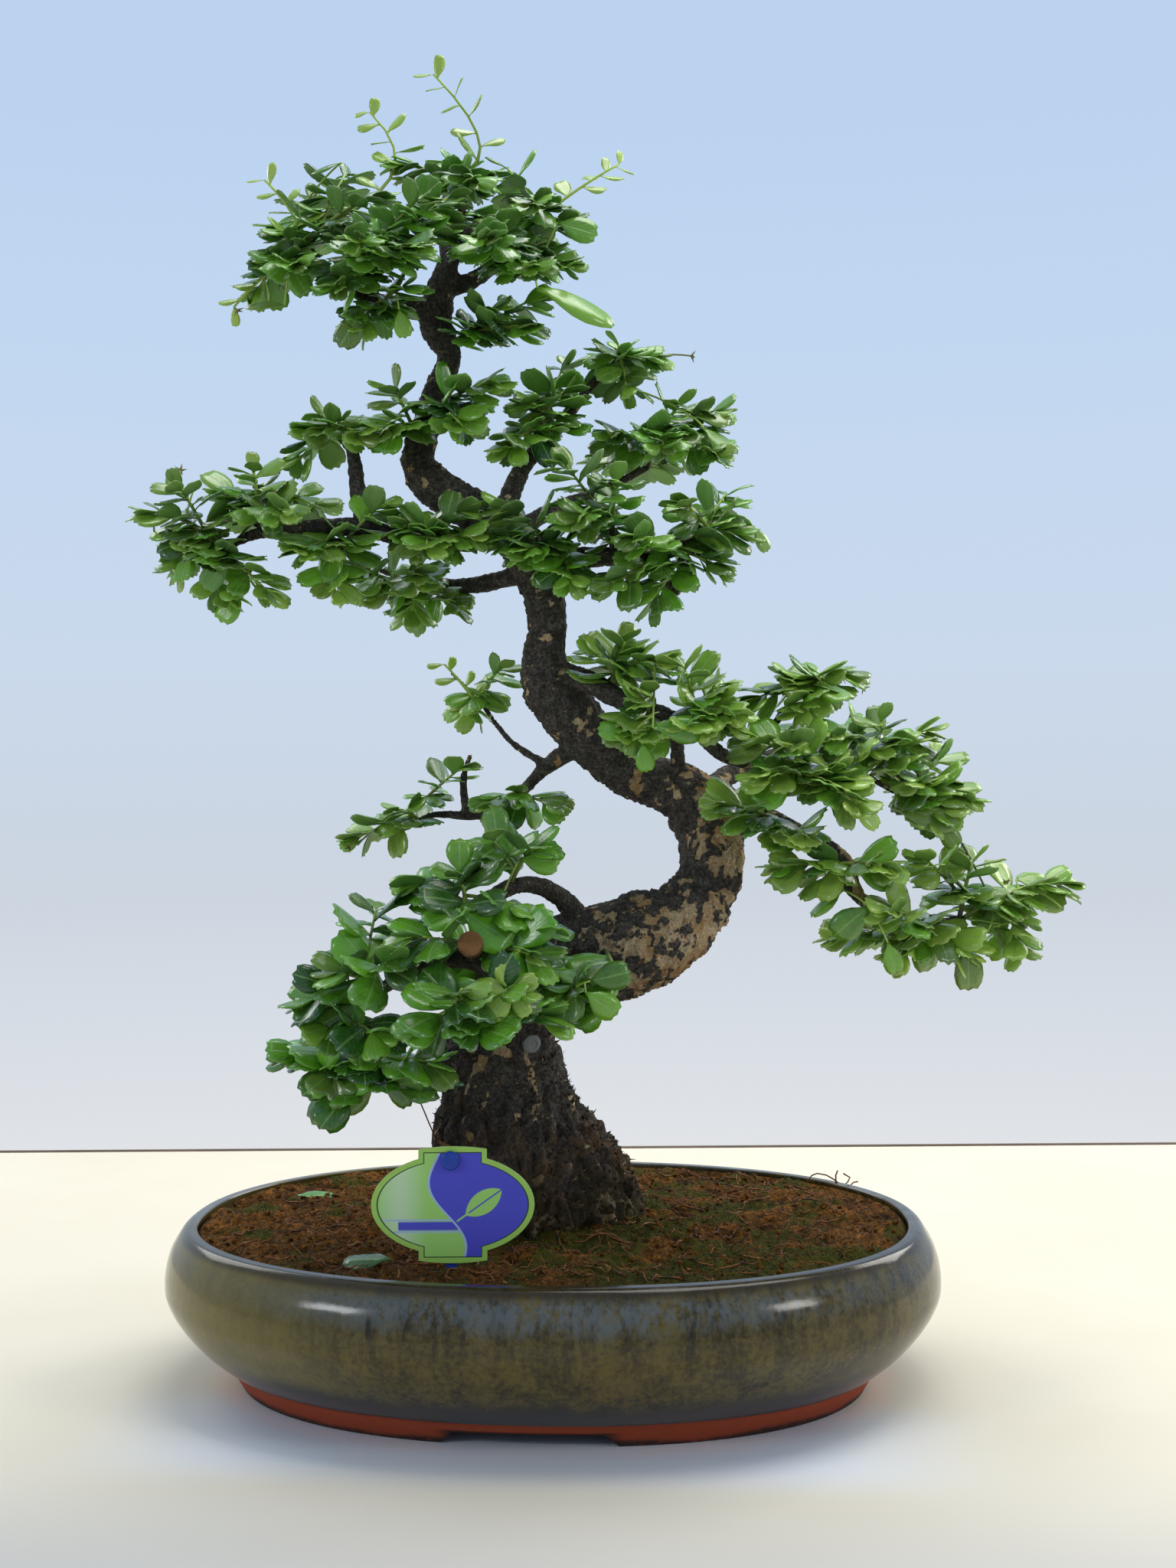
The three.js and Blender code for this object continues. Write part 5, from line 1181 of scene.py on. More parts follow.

# %% [markdown]
# The pale shoots carry their leaves in two rows, turned to the light, and lean as they do in the
# photograph. Some other leaves stand out so clearly that each is set one by one: where it starts,
# where its tip is, how young it is and how far it is turned to the front. Five of them make the
# yellow green rosette at the front of the lowest pad.

# %% Leaves set one by one, in millimetres
SET_LEAVES = {
    "crown_east": [
        ((-4, -50, 525), (38, -53, 519), 0.3, 0.5), ((6, -24, 563), (26, -27, 558), 0.1, 0.8),
        ((0, -20, 546), (16, -23, 549), 0.3, 0.5)],
    "crown_northwest": [((-99, -14, 595), (-115, -17, 593), 0.1, 0.3)],
    "crown_west": [((-125, -30, 522), (-144, -33, 526), 0.5, 0.4)],
    "crown_under": [
        ((-88, -30, 520), (-100, -33, 502), 0.25, 0.7), ((-70, -34, 519), (-67, -37, 505), 0.3, 0.9)],
    "right_end": [((100, -24, 415), (109, -27, 405), 0.4, 0.5), ((70, -24, 415), (89, -27, 409), 0.35, 0.5)],
    "right_rise": [((74, 20, 477), (94, 17, 482), 0.4, 0.3), ((79, 12, 470), (97, 9, 458), 0.2, 0.4)],
    "low_start": [
        ((48, -68, 318), (75, -71, 319), 0.05, 0.8), ((39, -50, 315), (23, -53, 320), 0.1, 0.6),
        ((44, -52, 311), (46, -55, 297), 0.15, 0.9)],
    "low_rise": [
        ((126, -6, 336), (153, -9, 345), 0.5, 0.3), ((122, -8, 340), (139, -11, 346), 0.45, 0.4)],
    "low_crest": [
        ((174, -14, 291), (207, -17, 285), 0.35, 0.15), ((166, -24, 280), (201, -27, 275), 0.35, 0.6),
        ((174, -6, 310), (196, -9, 308), 0.4, 0.4)],
    "low_east": [((178, -8, 299), (196, -11, 295), 0.3, 0.5)],
    "low_tip": [
        ((188, -10, 285), (206, -13, 272), 0.45, 0.6), ((231, -6, 243), (250, -9, 244), 0.45, 0.4),
        ((232, -10, 239), (257, -13, 235), 0.5, 0.45), ((204, -20, 213), (205, -23, 188), 0.35, 0.6),
        ((218, -14, 220), (234, -17, 207), 0.3, 0.6)],
    "low_spur": [
        ((141, -30, 240), (123, -33, 230), 0.35, 0.3), ((133, -28, 246), (119, -31, 237), 0.4, 0.3),
        ((151, -46, 233), (133, -49, 219), 0.1, 0.8), ((160, -46, 216), (165, -49, 200), 0.2, 0.8)],
    "left_end": [
        ((-153, -24, 416), (-181, -27, 404), 0.35, 0.5),
        ((-171, -20, 435), (-190, -23, 438), 0.4, 0.3), ((-147, -30, 386), (-158, -33, 371), 0.2, 0.6)],
    "base_west": [
        ((-88, -66, 192), (-114, -69, 178), 0.15, 0.8), ((-94, -60, 204), (-114, -63, 195), 0.35, 0.6),
        ((-77, -66, 218), (-100, -69, 217), 0.4, 0.5)],
    "base_low": [
        ((-111, -50, 165), (-127, -53, 168), 0.35, 0.5), ((-83, -56, 157), (-100, -59, 141), 0.4, 0.8),
        ((-77, -60, 159), (-65, -63, 143), 0.2, 0.9)],
    "base_arc_end": [((-14, -48, 257), (5, -51, 256), 0.2, 0.7)],
    "base_collar": [
        ((18, -74, 202), (37, -77, 207), 0.1, 0.8), ((16, -76, 197), (32, -79, 187), 0.2, 0.8)],
    "base_top": [
        ((-28, -92, 202), (-48, -96, 199), 0.05, 0.85), ((-30, -86, 192), (-44, -90, 184), 0.1, 0.8)],
    "base_front": [
        ((-17, -108, 202), (-30, -111, 206), 0.85, 0.8), ((-17, -108, 202), (-22, -111, 214), 0.85, 0.9),
        ((-17, -108, 202), (-6, -113, 208), 0.7, 0.8), ((-17, -108, 202), (-28, -113, 190), 0.75, 0.9),
        ((-17, -108, 202), (-10, -113, 191), 0.7, 0.9)],
}
print("leaves set one by one:", sum(len(leaves) for leaves in SET_LEAVES.values()))

# %% [markdown]
# A shoot leaves its limb where the limb is nearest, and rises a little on its way to the tip. Its
# leaves are spaced back from the tip, so one helper finds a place and a direction on a line from
# its end.

# %% Lines for shoots
UPWARD = Vector((0, 0, 1))


def curve_line(root, tip, rise, steps=7, bend=None):
    if bend is None:
        bend = root.lerp(tip, 0.5) + UPWARD * (tip - root).length * rise
    shares = [step / steps for step in range(steps + 1)]
    return [root * (1 - t) ** 2 + bend * 2 * t * (1 - t) + tip * t * t for t in shares]


def line_at(line, back):
    """The place and direction on a line, a length back from its end."""
    for start, end in zip(line[-2::-1], line[:0:-1]):
        length = (end - start).length
        if back <= length or start is line[0]:
            return end + (start - end) * min(back / length, 1), (end - start).normalized()
        back -= length
    return line[0], (line[1] - line[0]).normalized()


# %% [markdown]
# Before a leaf is kept, three points along it are tested against the trunk and branches, and against
# the gaps through which the wood shows in the photograph. Its tip is tested against the size of the
# CAD model, and its middle against the leaves that are there.

# %% Where a leaf has room
GAPS = [
    ((-37, -84, 222), 11), ((-10, -44, 170), 8), ((-10, -30, 246), 11), ((6, -20, 236), 9),
    ((31, 0, 219), 17), ((48, 0, 192), 10), ((-29, -40, 161), 10), ((-7, -40, 159), 12),
    ((29, -40, 173), 14), ((-90, 0, 126), 14), ((-69, 0, 126), 14), ((50, 0, 208), 13),
    ((48, 0, 182), 13), ((57, -30, 331), 10), ((61, -34, 308), 9), ((31, -24, 335), 8),
]
LEAF_SPACE = 3
LEAF_MIDDLE = 0.6
LEAF_TESTS = (0.35, 0.7, 1.0)
LEAF_SAG = 0.15
WOOD_CLEARANCE, BOX_MARGIN = 1.2, 2
gap_spots = [(tree_point(*spot), reach * MM) for spot, reach in GAPS]
wood_tree = bvhtree.BVHTree.FromObject(wood, bpy.context.evaluated_depsgraph_get())
leaf_middles = []


def in_a_gap(place):
    """True if a place is in front of a spot where the wood shows between the leaves."""
    for spot, reach in gap_spots:
        sight = spot - EYE
        depth = (place - EYE).dot(sight.normalized())
        if depth < sight.length and (place - EYE - sight.normalized() * depth).length < reach:
            return True
    return False


def is_free(root, heading, length):
    """True if a leaf would be clear of the wood, the gaps, other leaves and the box's sides."""
    for share in LEAF_TESTS:
        place = root + heading * length * share - UPWARD * length * LEAF_SAG * share
        touched, normal, _, _ = wood_tree.find_nearest(place)
        if (place - touched).dot(normal) < WOOD_CLEARANCE * MM or in_a_gap(place):
            return False
    tip = root + heading * length
    low, high = cad_box
    margin = BOX_MARGIN * MM
    if any(tip[axis] < low[axis] + margin or tip[axis] > high[axis] - margin for axis in range(3)):
        return False
    middle = root + heading * length * LEAF_MIDDLE
    return all((middle - other).length > LEAF_SPACE * MM for other in leaf_middles)


print("gaps kept open:", len(gap_spots))

# %% [markdown]
# A leaf that isn't free is turned on round the shoot, and after a few tries it is left out. A style
# says how large and how broad the leaves of a pad are, how many a shoot has, how far they rise and
# sink, how far they are turned to the front and how pale they are. That paleness is partly the yellow
# green of new growth and partly a painted sheen of the pale light.

# %% Leaves round the end of a shoot
LEAF_LENGTH = 23.5
LEAF_STYLES = {
    "crown": (0.78, 1.0, 16, 0.35, 0.35, 0.08), "left": (0.8, 1.05, 15, 0.45, 0.35, 0.24),
    "right": (0.83, 1.05, 15, 0.45, 0.35, 0.14), "low": (0.84, 1.1, 15, 0.45, 0.35, 0.38),
    "small": (0.76, 1.1, 10, 0.4, 0.3, 0.28), "base": (0.96, 1.22, 8, 0.6, 0.5, 0.04),
}
PALE_STYLE = (0.6, 0.95, 10, 0.8, 0.9, 0.5)
GOLDEN_ANGLE = math.radians(137.5)
LEAF_GAP, PALE_LEAF_GAP = 2.1, 6.5
LEAF_TRIES = 5


def grow_leaves(line, style, pale, rng):
    """Leaves round the end of a shoot, the youngest at its tip, and tufts further back along it."""
    meshes = []
    scale, breadth, count, lift, toward, pallor = style
    turn = 0 if pale else rng.uniform(0, 2 * math.pi)
    back = 0.0
    gap = PALE_LEAF_GAP if pale else LEAF_GAP
    for number in range(count):
        place, axis = line_at(line, back * MM)
        side = axis.cross(TO_EYE if pale else UPWARD)
        side = side.normalized() if side.length > 0.1 else Vector((1, 0, 0))
        above = side.cross(axis)
        age = number / max(count - 1, 1)
        spread = (0.75 + 0.4 * age) if pale else 0.45 + 0.8 * age
        size = scale * (0.68 + 0.36 * min(age * 1.8, 1))
        length = LEAF_LENGTH * MM * size * rng.uniform(0.85, 1.2)
        # A pad's pallor mixes in pale yellow green: partly new growth, partly a painted sheen.
        young = (rng.uniform(0.3, 0.9) - age * 1.2) * (0.4 + 2 * pallor)
        young = 0.95 - age * 0.35 if pale else max(young, pallor * rng.uniform(0, 2))
        for _ in range(LEAF_TRIES):
            turn += math.pi + rng.uniform(-0.5, 0.5) if pale else GOLDEN_ANGLE
            radial = side * math.cos(turn) + above * math.sin(turn)
            heading = axis * math.cos(spread) + radial * math.sin(spread)
            heading.z = heading.z * lift + 0.04
            heading.normalize()
            if is_free(place, heading, length):
                skyward = UPWARD + axis * 0.4 + TO_EYE * toward + side * rng.uniform(-0.75, 0.75)
                meshes.append(leaf_copy(place, heading, skyward, length, young, rng, breadth))
                leaf_middles.append(place + heading * length * LEAF_MIDDLE)
                break
        back += gap * rng.uniform(0.7, 1.3) * (0.6 + age)
    return meshes


# %% [markdown]
# Older shoots also bear small tufts on short spurs. They fill a pad between its tips, so that it
# reads as a cloud and not as a bunch of brushes.

# %% Tufts behind the end
LEAVES_ON_TUFT = 5
TUFT_START, TUFT_END, TUFT_GAP = 24, 5, 9


def grow_tufts(line, style, rng):
    """Small tufts of leaves on short spurs along a shoot, behind its leafy end."""
    meshes = []
    length = sum((end - start).length for start, end in zip(line, line[1:])) / MM
    back = TUFT_START
    while back < length - TUFT_END:
        place, axis = line_at(line, back * MM)
        side = axis.cross(UPWARD).normalized() * rng.choice((-1, 1))
        for number in range(LEAVES_ON_TUFT):
            turn = rng.uniform(-0.5, 0.5) + (number - (LEAVES_ON_TUFT - 1) / 2) * 0.9
            heading = axis * math.cos(turn + 0.9) + side * math.sin(turn + 0.9)
            heading.z = rng.uniform(-0.3, 0.3)
            heading.normalize()
            size = LEAF_LENGTH * MM * style[0] * rng.uniform(0.75, 1.05)
            if is_free(place, heading, size):
                skyward = UPWARD + TO_EYE * style[4] + axis.cross(heading) * rng.uniform(-0.3, 0.3)
                young = style[5] * rng.uniform(0, 2)
                meshes.append(leaf_copy(place, heading, skyward, size, young, rng, style[1]))
                leaf_middles.append(place + heading * size * LEAF_MIDDLE)
        back += TUFT_GAP * rng.uniform(0.8, 1.2)
    return meshes


# %% [markdown]
# A spray is its main shoot, a fork to each further tip, their leaves and tufts, and the leaves that
# were set one by one, with a stalk where they start off a twig. It is joined into one piece.

# %% Grow a spray
PALE_BENDS = {
    "crown_top": (-16, 12, 607), "crown_north": (-54, 4, 594), "crown_northwest": (-114, -14, 565)}
SHOOT_RISE = 0.16
FIRST_FORK = 0.25
FORK_REACH = 0.35
SHORT_LEAF = 26
MAIN_TWIG, SIDE_TWIG, LEAF_STALK = (1.35, 0.75), (1.05, 0.55), (0.6, 0.45)
YOUNG_TWIG_REACH = 26
PALE_TWIG_REACH = 120


def joined_piece(name, twigs, meshes):
    """The twigs and leaves of a spray as one piece with two finishes."""
    set_attribute(twigs.data, "twig", np.ones(len(twigs.data.polygons)), "FACE")
    for face in twigs.data.polygons:
        face.use_smooth = True
    leaves = [linked(name, mesh) for mesh in meshes]
    take(twigs)
    for leaf in leaves:
        leaf.select_set(True)
    bpy.ops.object.join()
    twigs.name = name
    return twigs


def shoot_tips(name):
    return SPRAYS[name][1] + ([PALE_TIPS[name]] if name in PALE_TIPS else [])


def grow_spray(name, limb, tips, rng):
    style = LEAF_STYLES[name.split("_")[0]]
    stations = [place for place, _ in limb_lines[limb][BEND_STEPS:]]
    targets = [tree_point(*tip) for tip in shoot_tips(name)]
    aim_at = sum(targets[1:], targets[0] * 2) / (len(targets) + 1)
    root = min(stations, key=lambda place: (place - aim_at).length)
    main = curve_line(root, targets[0], SHOOT_RISE)
    lines = [(main, *MAIN_TWIG)]
    ends = [(main[-1], YOUNG_TWIG_REACH)]
    meshes = grow_leaves(main, style, False, rng) + grow_tufts(main, style, rng)
    for index, target in enumerate(targets[1:]):
        share = FIRST_FORK + FORK_REACH * index / max(len(targets) - 1, 1)
        fork = main[round(share * (len(main) - 1))]
        pale = index + 1 >= len(tips)
        bend = tree_point(*PALE_BENDS[name]) if pale and name in PALE_BENDS else None
        line = curve_line(fork, target, 0.05, bend=bend)
        lines.append((line, *SIDE_TWIG))
        ends.append((target, PALE_TWIG_REACH if pale else YOUNG_TWIG_REACH))
        meshes += grow_leaves(line, PALE_STYLE if pale else style, pale, rng)
        if not pale:
            meshes += grow_tufts(line, style, rng)
    for base, tip, leaf_young, toward in SET_LEAVES.get(name, []):
        base, tip = tree_point(*base), tree_point(*tip)
        twig_places = [place for line, _, _ in lines for place in line]
        start = min(twig_places, key=lambda place: (place - base).length)
        if (start - base).length > MM:
            lines.append((curve_line(start, base, 0.1), *LEAF_STALK))
            ends.append((base, YOUNG_TWIG_REACH))
        skyward = UPWARD * (1 - toward) + TO_EYE * toward
        length = (tip - base).length
        breadth = 1.15 if length < SHORT_LEAF * MM else 0.85
        meshes.append(leaf_copy(base, tip - base, skyward, length, leaf_young, rng, breadth))
        leaf_middles.append(base.lerp(tip, LEAF_MIDDLE))
    rows = [[(place, (thick + (thin - thick) * step / (len(line) - 1)) * MM)
             for step, place in enumerate(line)] for line, thick, thin in lines]
    twigs = tubes(name, rows, 1)
    young = [max(1 - min((vertex.co - end).length / (reach * MM) for end, reach in ends), 0)
             for vertex in twigs.data.vertices]
    set_attribute(twigs.data, "young", young)
    return joined_piece("leafy_" + name, twigs, meshes), len(meshes)


print("sprays with a pale shoot:", list(PALE_TIPS))

# %% [markdown]
# A leaf's upper face is deep green and glossy, its underside duller and paler, and new growth is
# yellow green. The midrib and the few side veins are lighter lines that lie in shallow grooves, and
# follow the leaf through its own UV map.

# %% The finish of leaves and green twigs
LEAF_DEEP = srgb(26, 82, 22)
LEAF_GREEN = srgb(106, 176, 34)
LEAF_YOUNG = srgb(182, 212, 86)
LEAF_UNDER = srgb(118, 162, 88)
LEAF_VEIN = srgb(146, 188, 100)
TWIG_BROWN = srgb(66, 50, 38)


def leaf_finish():
    finish = Finish("glossy_leaf")
    uv = finish.node("ShaderNodeUVMap")
    across = finish.node("ShaderNodeSeparateXYZ", None, {0: uv}, "X")
    along = finish.node("ShaderNodeSeparateXYZ", None, {0: uv}, "Y")
    off_middle = finish.math("ABSOLUTE", across - 0.5)
    young, tint = finish.attribute("young"), finish.attribute("tint")
    under, twig = finish.attribute("underside"), finish.attribute("twig")
    midrib = 1 - finish.step(off_middle, 0.015, 0.05)
    wave = finish.math("SINE", (along - off_middle * 0.9) * 44)
    veins = finish.step(wave, 0.82, 1.0) * (1 - finish.step(off_middle, 0.36, 0.48))
    mottle = finish.noise(4.5, 3, 0.6)
    green = finish.mix(finish.step(tint * 0.8 + mottle * 0.4, 0.25, 0.9), LEAF_DEEP, LEAF_GREEN)
    green = finish.mix(young, green, LEAF_YOUNG)
    green = finish.mix(midrib * 0.55 + veins * 0.16, green, LEAF_VEIN)
    green = finish.mix(under * 0.6, green, LEAF_UNDER)
    bark = finish.mix(finish.noise(1.2, 3, 0.7), TWIG_BROWN, srgb(92, 74, 56))
    shoot = finish.mix(young, bark, LEAF_YOUNG)
    relief = mottle * 0.4 - (midrib * 0.8 + veins * 0.3) * (1 - young)
    return finish.surface(
        finish.mix(twig, green, shoot), 0.2 + under * 0.26 + twig * 0.34 + mottle * 0.16,
        (relief, 0.25, 0.7), Specular_IOR_Level=0.7, Coat_Weight=(1 - under) * (1 - twig) * 0.35,
        Coat_Roughness=0.18)


leaf_paint = leaf_finish()
print("nodes in the leaf's finish:", len(leaf_paint.node_tree.nodes))

# %% [markdown]
# Every spray has a random generator of its own. They grow one after another, because a leaf keeps
# clear of all the leaves before it.

# %% Grow all the sprays
leaf_count = 0
for number, (name, (limb, tips)) in enumerate(SPRAYS.items()):
    spray, count = grow_spray(name, limb, tips, random.Random(100 + number))
    finish_piece(spray, [leaf_paint], [name])
    leaf_count += count
print("leaves on the tree:", leaf_count)

# %% [markdown]
# ## Two leaves on the soil
#
# They have dropped from the tree and lie on the crumbs, tilted to the front, so they are copies
# of the same leaf.

# %% The fallen leaves
FALLEN = {"fallen_leaf_left": (-133, 52, 0.45, 0.3), "fallen_leaf_front": (-73, -90, 3, 0.5)}
for number, (name, (x, y, turn, toward)) in enumerate(FALLEN.items()):
    rng = random.Random(7 + number)
    place = tree_point(x, y, 0)
    root = soil_place((place.x - pot_middle.x) / MM, (place.y - pot_middle.y) / MM, 4)
    heading = Vector((math.cos(turn), math.sin(turn), 0.06))
    mesh = leaf_copy(root, heading, UPWARD + TO_EYE * toward, LEAF_LENGTH * MM, 0.05, rng)
    leaf = linked(name.replace("fallen", "dropped"), mesh)
    finish_piece(leaf, [leaf_paint], [name])
bpy.data.objects.remove(leaf_model)

# %% [markdown]
# ## Small things, scattered
#
# Peat fibres, crumbs, moss and flakes of bark come by the hundred. Each kind is modelled once, with
# a few faces, and copied by numbers alone: a copy is the model's points turned by a matrix, scaled
# and moved, and all the copies of a kind share one mesh.

# %% Copy a small model many times
def scatter(name, model, places):
    """One piece from many copies of a model. A place is a 3 by 3 matrix and a point in metres."""
    points = vertex_array(model.data)
    faces = [tuple(face.vertices) for face in model.data.polygons]
    bpy.data.objects.remove(model)
    rows = [points @ np.array(turn).T + np.array(place) for turn, place in places]
    all_faces = [tuple(corner + number * len(points) for corner in face)
                 for number in range(len(places)) for face in faces]
    mesh = bpy.data.meshes.new(name)
    mesh.from_pydata(np.concatenate(rows).tolist(), [], all_faces)
    piece = linked(name, mesh)
    take(piece)
    bpy.ops.object.shade_smooth()
    return piece


def turned_to(heading, rng, width, length):
    """A matrix that lays a model's Z along a heading, at any angle round it."""
    turn = Vector(heading).to_track_quat("Z", "Y").to_matrix()
    spin = Matrix.Rotation(rng.uniform(0, 2 * math.pi), 3, "Z")
    return turn @ spin @ Matrix.Diagonal((width * MM, width * rng.uniform(0.6, 1) * MM, length * MM))


def on_soil(rng, margin=0.93):
    """A random place on the open soil, in millimetres from the pot's middle."""
    while True:
        x = rng.uniform(-1, 1) * (HALF_LENGTH - SOIL_MOUTH_INSET) * margin
        y = rng.uniform(-1, 1) * (HALF_DEPTH - SOIL_MOUTH_INSET) * margin
        reach = ((abs(x) / (HALF_LENGTH - SOIL_MOUTH_INSET)) ** OVAL_POWER
                 + (abs(y) / (HALF_DEPTH - SOIL_MOUTH_INSET)) ** OVAL_POWER)
        if reach < margin and math.hypot(x - TRUNK_X, y) > 50:
            return x, y


def spike_model():
    spike = new_piece(bpy.ops.mesh.primitive_cone_add, "spike",
                      vertices=3, radius1=0.5, depth=1, location=(0, 0, 0.5))
    set_in_place(spike)
    return spike


def crumb_model():
    crumb = new_piece(bpy.ops.mesh.primitive_ico_sphere_add, "crumb", subdivisions=1, radius=0.5)
    open_edit(crumb)
    bpy.ops.transform.vertex_random(offset=0.16, seed=4)
    bpy.ops.object.mode_set(mode="OBJECT")
    return crumb


# %% [markdown]
# Crumbs of peat and fibres lie all over the soil, and a few bits of twig stick up over the rim at the
# back right.

# %% Crumbs and fibres
CRUMBS = 900
FIBRES = 620
CRUMB_SIZES = (1.6, 4.2)
FIBRE_LENGTHS = (5, 8, 8, 12, 18)
FIBRE_RADII = (0.22, 0.22, 0.3, 0.55)
BACK_TWIG_RADIUS = 0.42
BACK_TWIGS = [
    [(136, 69, 77), (139, 71, 80.4), (142, 71, 81.6), (147, 71, 80.6), (151, 69, 78.5), (154, 68, 76)],
    [(151.5, 67, 77), (152, 71, 80.4), (153, 71, 83)],
    [(156, 71, 81.4), (159.6, 71, 79.2), (158, 69, 77), (155, 66, 76)],
    [(158, 66, 75), (161, 68, 77.2), (163.5, 68, 77.6)],
]
STRAW_PALE = srgb(176, 138, 82)
FIBRE_RUST = srgb(134, 80, 34)


def litter_finish():
    finish = Finish("dry_fibre")
    patch = finish.noise(7, 3, 0.7)
    fine = finish.noise(1.1, 3, 0.7)
    colour = finish.mix(finish.step(patch, 0.35, 0.55), PEAT_DARK, FIBRE_RUST)
    colour = finish.mix(finish.step(patch * 0.7 + fine * 0.3, 0.56, 0.66), colour, STRAW_PALE)
    return finish.surface(colour, 0.7 + fine * 0.2, (fine, 0.25, 0.7))


def fibre_line(rng):
    x, y = on_soil(rng, 0.9)
    heading = rng.uniform(0, 2 * math.pi)
    length = rng.choice(FIBRE_LENGTHS) * rng.uniform(0.8, 1.3)
    radius = rng.choice(FIBRE_RADII) * rng.uniform(0.8, 1.2) * MM
    line = []
    for step in range(5):
        share = step / 4 - 0.5
        bend = heading + share * rng.uniform(-0.9, 0.9)
        spot = (x + math.cos(bend) * length * share, y + math.sin(bend) * length * share)
        line.append((soil_place(*spot, 0.4 + rng.uniform(0, 1.4)), radius * (1 - abs(share) * 0.8)))
    return line


rng = random.Random(21)
crumb_places = []
for _ in range(CRUMBS):
    x, y = on_soil(rng, 0.97)
    size = rng.uniform(*CRUMB_SIZES)
    heading = (rng.uniform(-1, 1), rng.uniform(-1, 1), rng.uniform(0.2, 1))
    crumb_places.append((turned_to(heading, rng, size, size * rng.uniform(0.5, 0.9)), soil_place(x, y, 0.1)))
crumbs = scatter("peat_crumbs", crumb_model(), crumb_places)
finish_piece(crumbs, [soil_paint])

fibre_lines = [fibre_line(rng) for _ in range(FIBRES)]
for points in BACK_TWIGS:
    fibre_lines.append([(tree_point(*place), BACK_TWIG_RADIUS * MM) for place in points])
fibres = tubes("peat_fibres", fibre_lines, 0)
finish_piece(fibres, [litter_finish()])

# %% [markdown]
# Moss is a close stand of short soft spikes, wherever the soil is painted mossy, and thinner
# towards the border of a patch.

# %% Moss
MOSS_SPIKES = 5200
MOSS_FLOOR = 0.42


def moss_finish():
    finish = Finish("soft_moss")
    patch = finish.noise(9, 3, 0.6)
    fine = finish.noise(1.6, 2, 0.6)
    return finish.surface(
        finish.mix(finish.step(patch * 0.6 + fine * 0.4, 0.4, 0.62), MOSS_DARK, MOSS_GREEN),
        0.9 + fine * 0.1, (fine, 0.4, 0.6))


moss_places = []
while len(moss_places) < MOSS_SPIKES:
    x, y = on_soil(rng, 0.95)
    if moss_at(x, y) > MOSS_FLOOR + rng.uniform(0, 0.4):
        heading = (rng.uniform(-0.6, 0.6), rng.uniform(-0.6, 0.6), 1)
        moss_places.append((turned_to(heading, rng, rng.uniform(0.6, 1.1), rng.uniform(1.2, 2.6)),
                            soil_place(x, y, -0.4)))
moss = scatter("moss_on_soil", spike_model(), moss_places)
finish_piece(moss, [moss_finish()])

# %% [markdown]
# The old trunk is shaggy below the leaves: torn flakes of bark stand off it, more of them near the
# soil and longer ones down the right side, where they make its outline ragged. They are the same
# little spike, flattened and set on the bark's own points.

# %% Flakes and dry moss on the foot of the trunk
FLAKES = 2600
FLAKE_LOW, FLAKE_HIGH = 74, 190


def flake_places(rng):
    places = []
    count = len(wood.data.vertices)
    while len(places) < FLAKES:
        vertex = wood.data.vertices[rng.randrange(count)]
        height = vertex.co.z / MM
        if FLAKE_LOW < height < FLAKE_HIGH and rng.random() < 1.25 - height / 160:
            loose = Vector((rng.uniform(-1, 1), rng.uniform(-1, 1), rng.uniform(-0.4, 1.2)))
            heading = vertex.normal * rng.uniform(0.3, 1.0) + loose * 0.75
            length = rng.uniform(1.5, 3.8) * (1.15 if vertex.normal.x > 0.5 else 0.8)
            turn = turned_to(heading, rng, rng.uniform(1.0, 3.0), length) @ Matrix.Diagonal((1, 0.35, 1))
            places.append((turn, vertex.co - vertex.normal * 0.5 * MM))
    return places


flakes = scatter("shaggy_bark", spike_model(), flake_places(random.Random(5)))
set_attribute(flakes.data, "tan", np.full(len(flakes.data.vertices), 0.12))
set_attribute(flakes.data, "moss", np.full(len(flakes.data.vertices), 0.75))
finish_piece(flakes, [bark_paint])

# %% [markdown]
# Two old cuts show. A stub under the lower left pad was sawn off square and shows pale end grain,
# and a small knot, healed over and grey, sits on the front of the trunk below it. Each starts as a
# cylinder whose end is inset and pushed in edit mode.

# %% A round end, and its grain
END_SIDES = 28
RING_WAVES = 7500


def round_end(name, foot, heading, radius, depth, steps):
    """A short round body whose outer end is inset and pushed, one row (inset, push) at a time."""
    piece = new_piece(bpy.ops.mesh.primitive_cylinder_add, name,
                      vertices=END_SIDES, radius=radius * MM, depth=depth * MM)
    open_edit(piece, faces_up)
    for inset, push in steps:
        bpy.ops.mesh.inset(thickness=inset * MM)
        bpy.ops.transform.translate(value=(0, 0, push * MM))
    bpy.ops.object.mode_set(mode="OBJECT")
    turn = Vector(heading).to_track_quat("Z", "Y").to_matrix().to_4x4()
    piece.matrix_world = Matrix.Translation(foot) @ turn
    set_in_place(piece)
    bpy.ops.object.shade_smooth_by_angle(angle=math.radians(40))
    return piece


def end_grain_finish(name, middle, heading, light, dark):
    """Rings round an axis, worked out from the distance to it."""
    finish = Finish(name)
    offset = finish.place(shift=tuple(middle))
    along = finish.vector("DOT_PRODUCT", offset, Vector(heading).normalized(), output="Value")
    length = finish.vector("LENGTH", offset, output="Value")
    squared = finish.math("MAXIMUM", length * length - along * along, 0)
    distance = squared ** 0.5
    wobble = finish.noise(3, 3, 0.6)
    rings = finish.math("SINE", distance * RING_WAVES + wobble * 6)
    rings = rings * 0.5 + 0.5
    fine = finish.noise(0.9, 3, 0.7)
    rot = finish.step(fine * 0.5 + wobble * 0.6, 0.55, 0.75)
    colour = finish.mix(rings * 0.45 + rot * 0.5, light, dark)
    return finish.surface(colour, 0.78 + fine * 0.15, (rings * 0.3 + fine * 0.5, 0.4, 0.7))


# %% [markdown]
# The stub's end follows its branch, and the knot is put where the line of sight to it meets the
# bark, so that it sits on the trunk whatever the bark's noise did there.

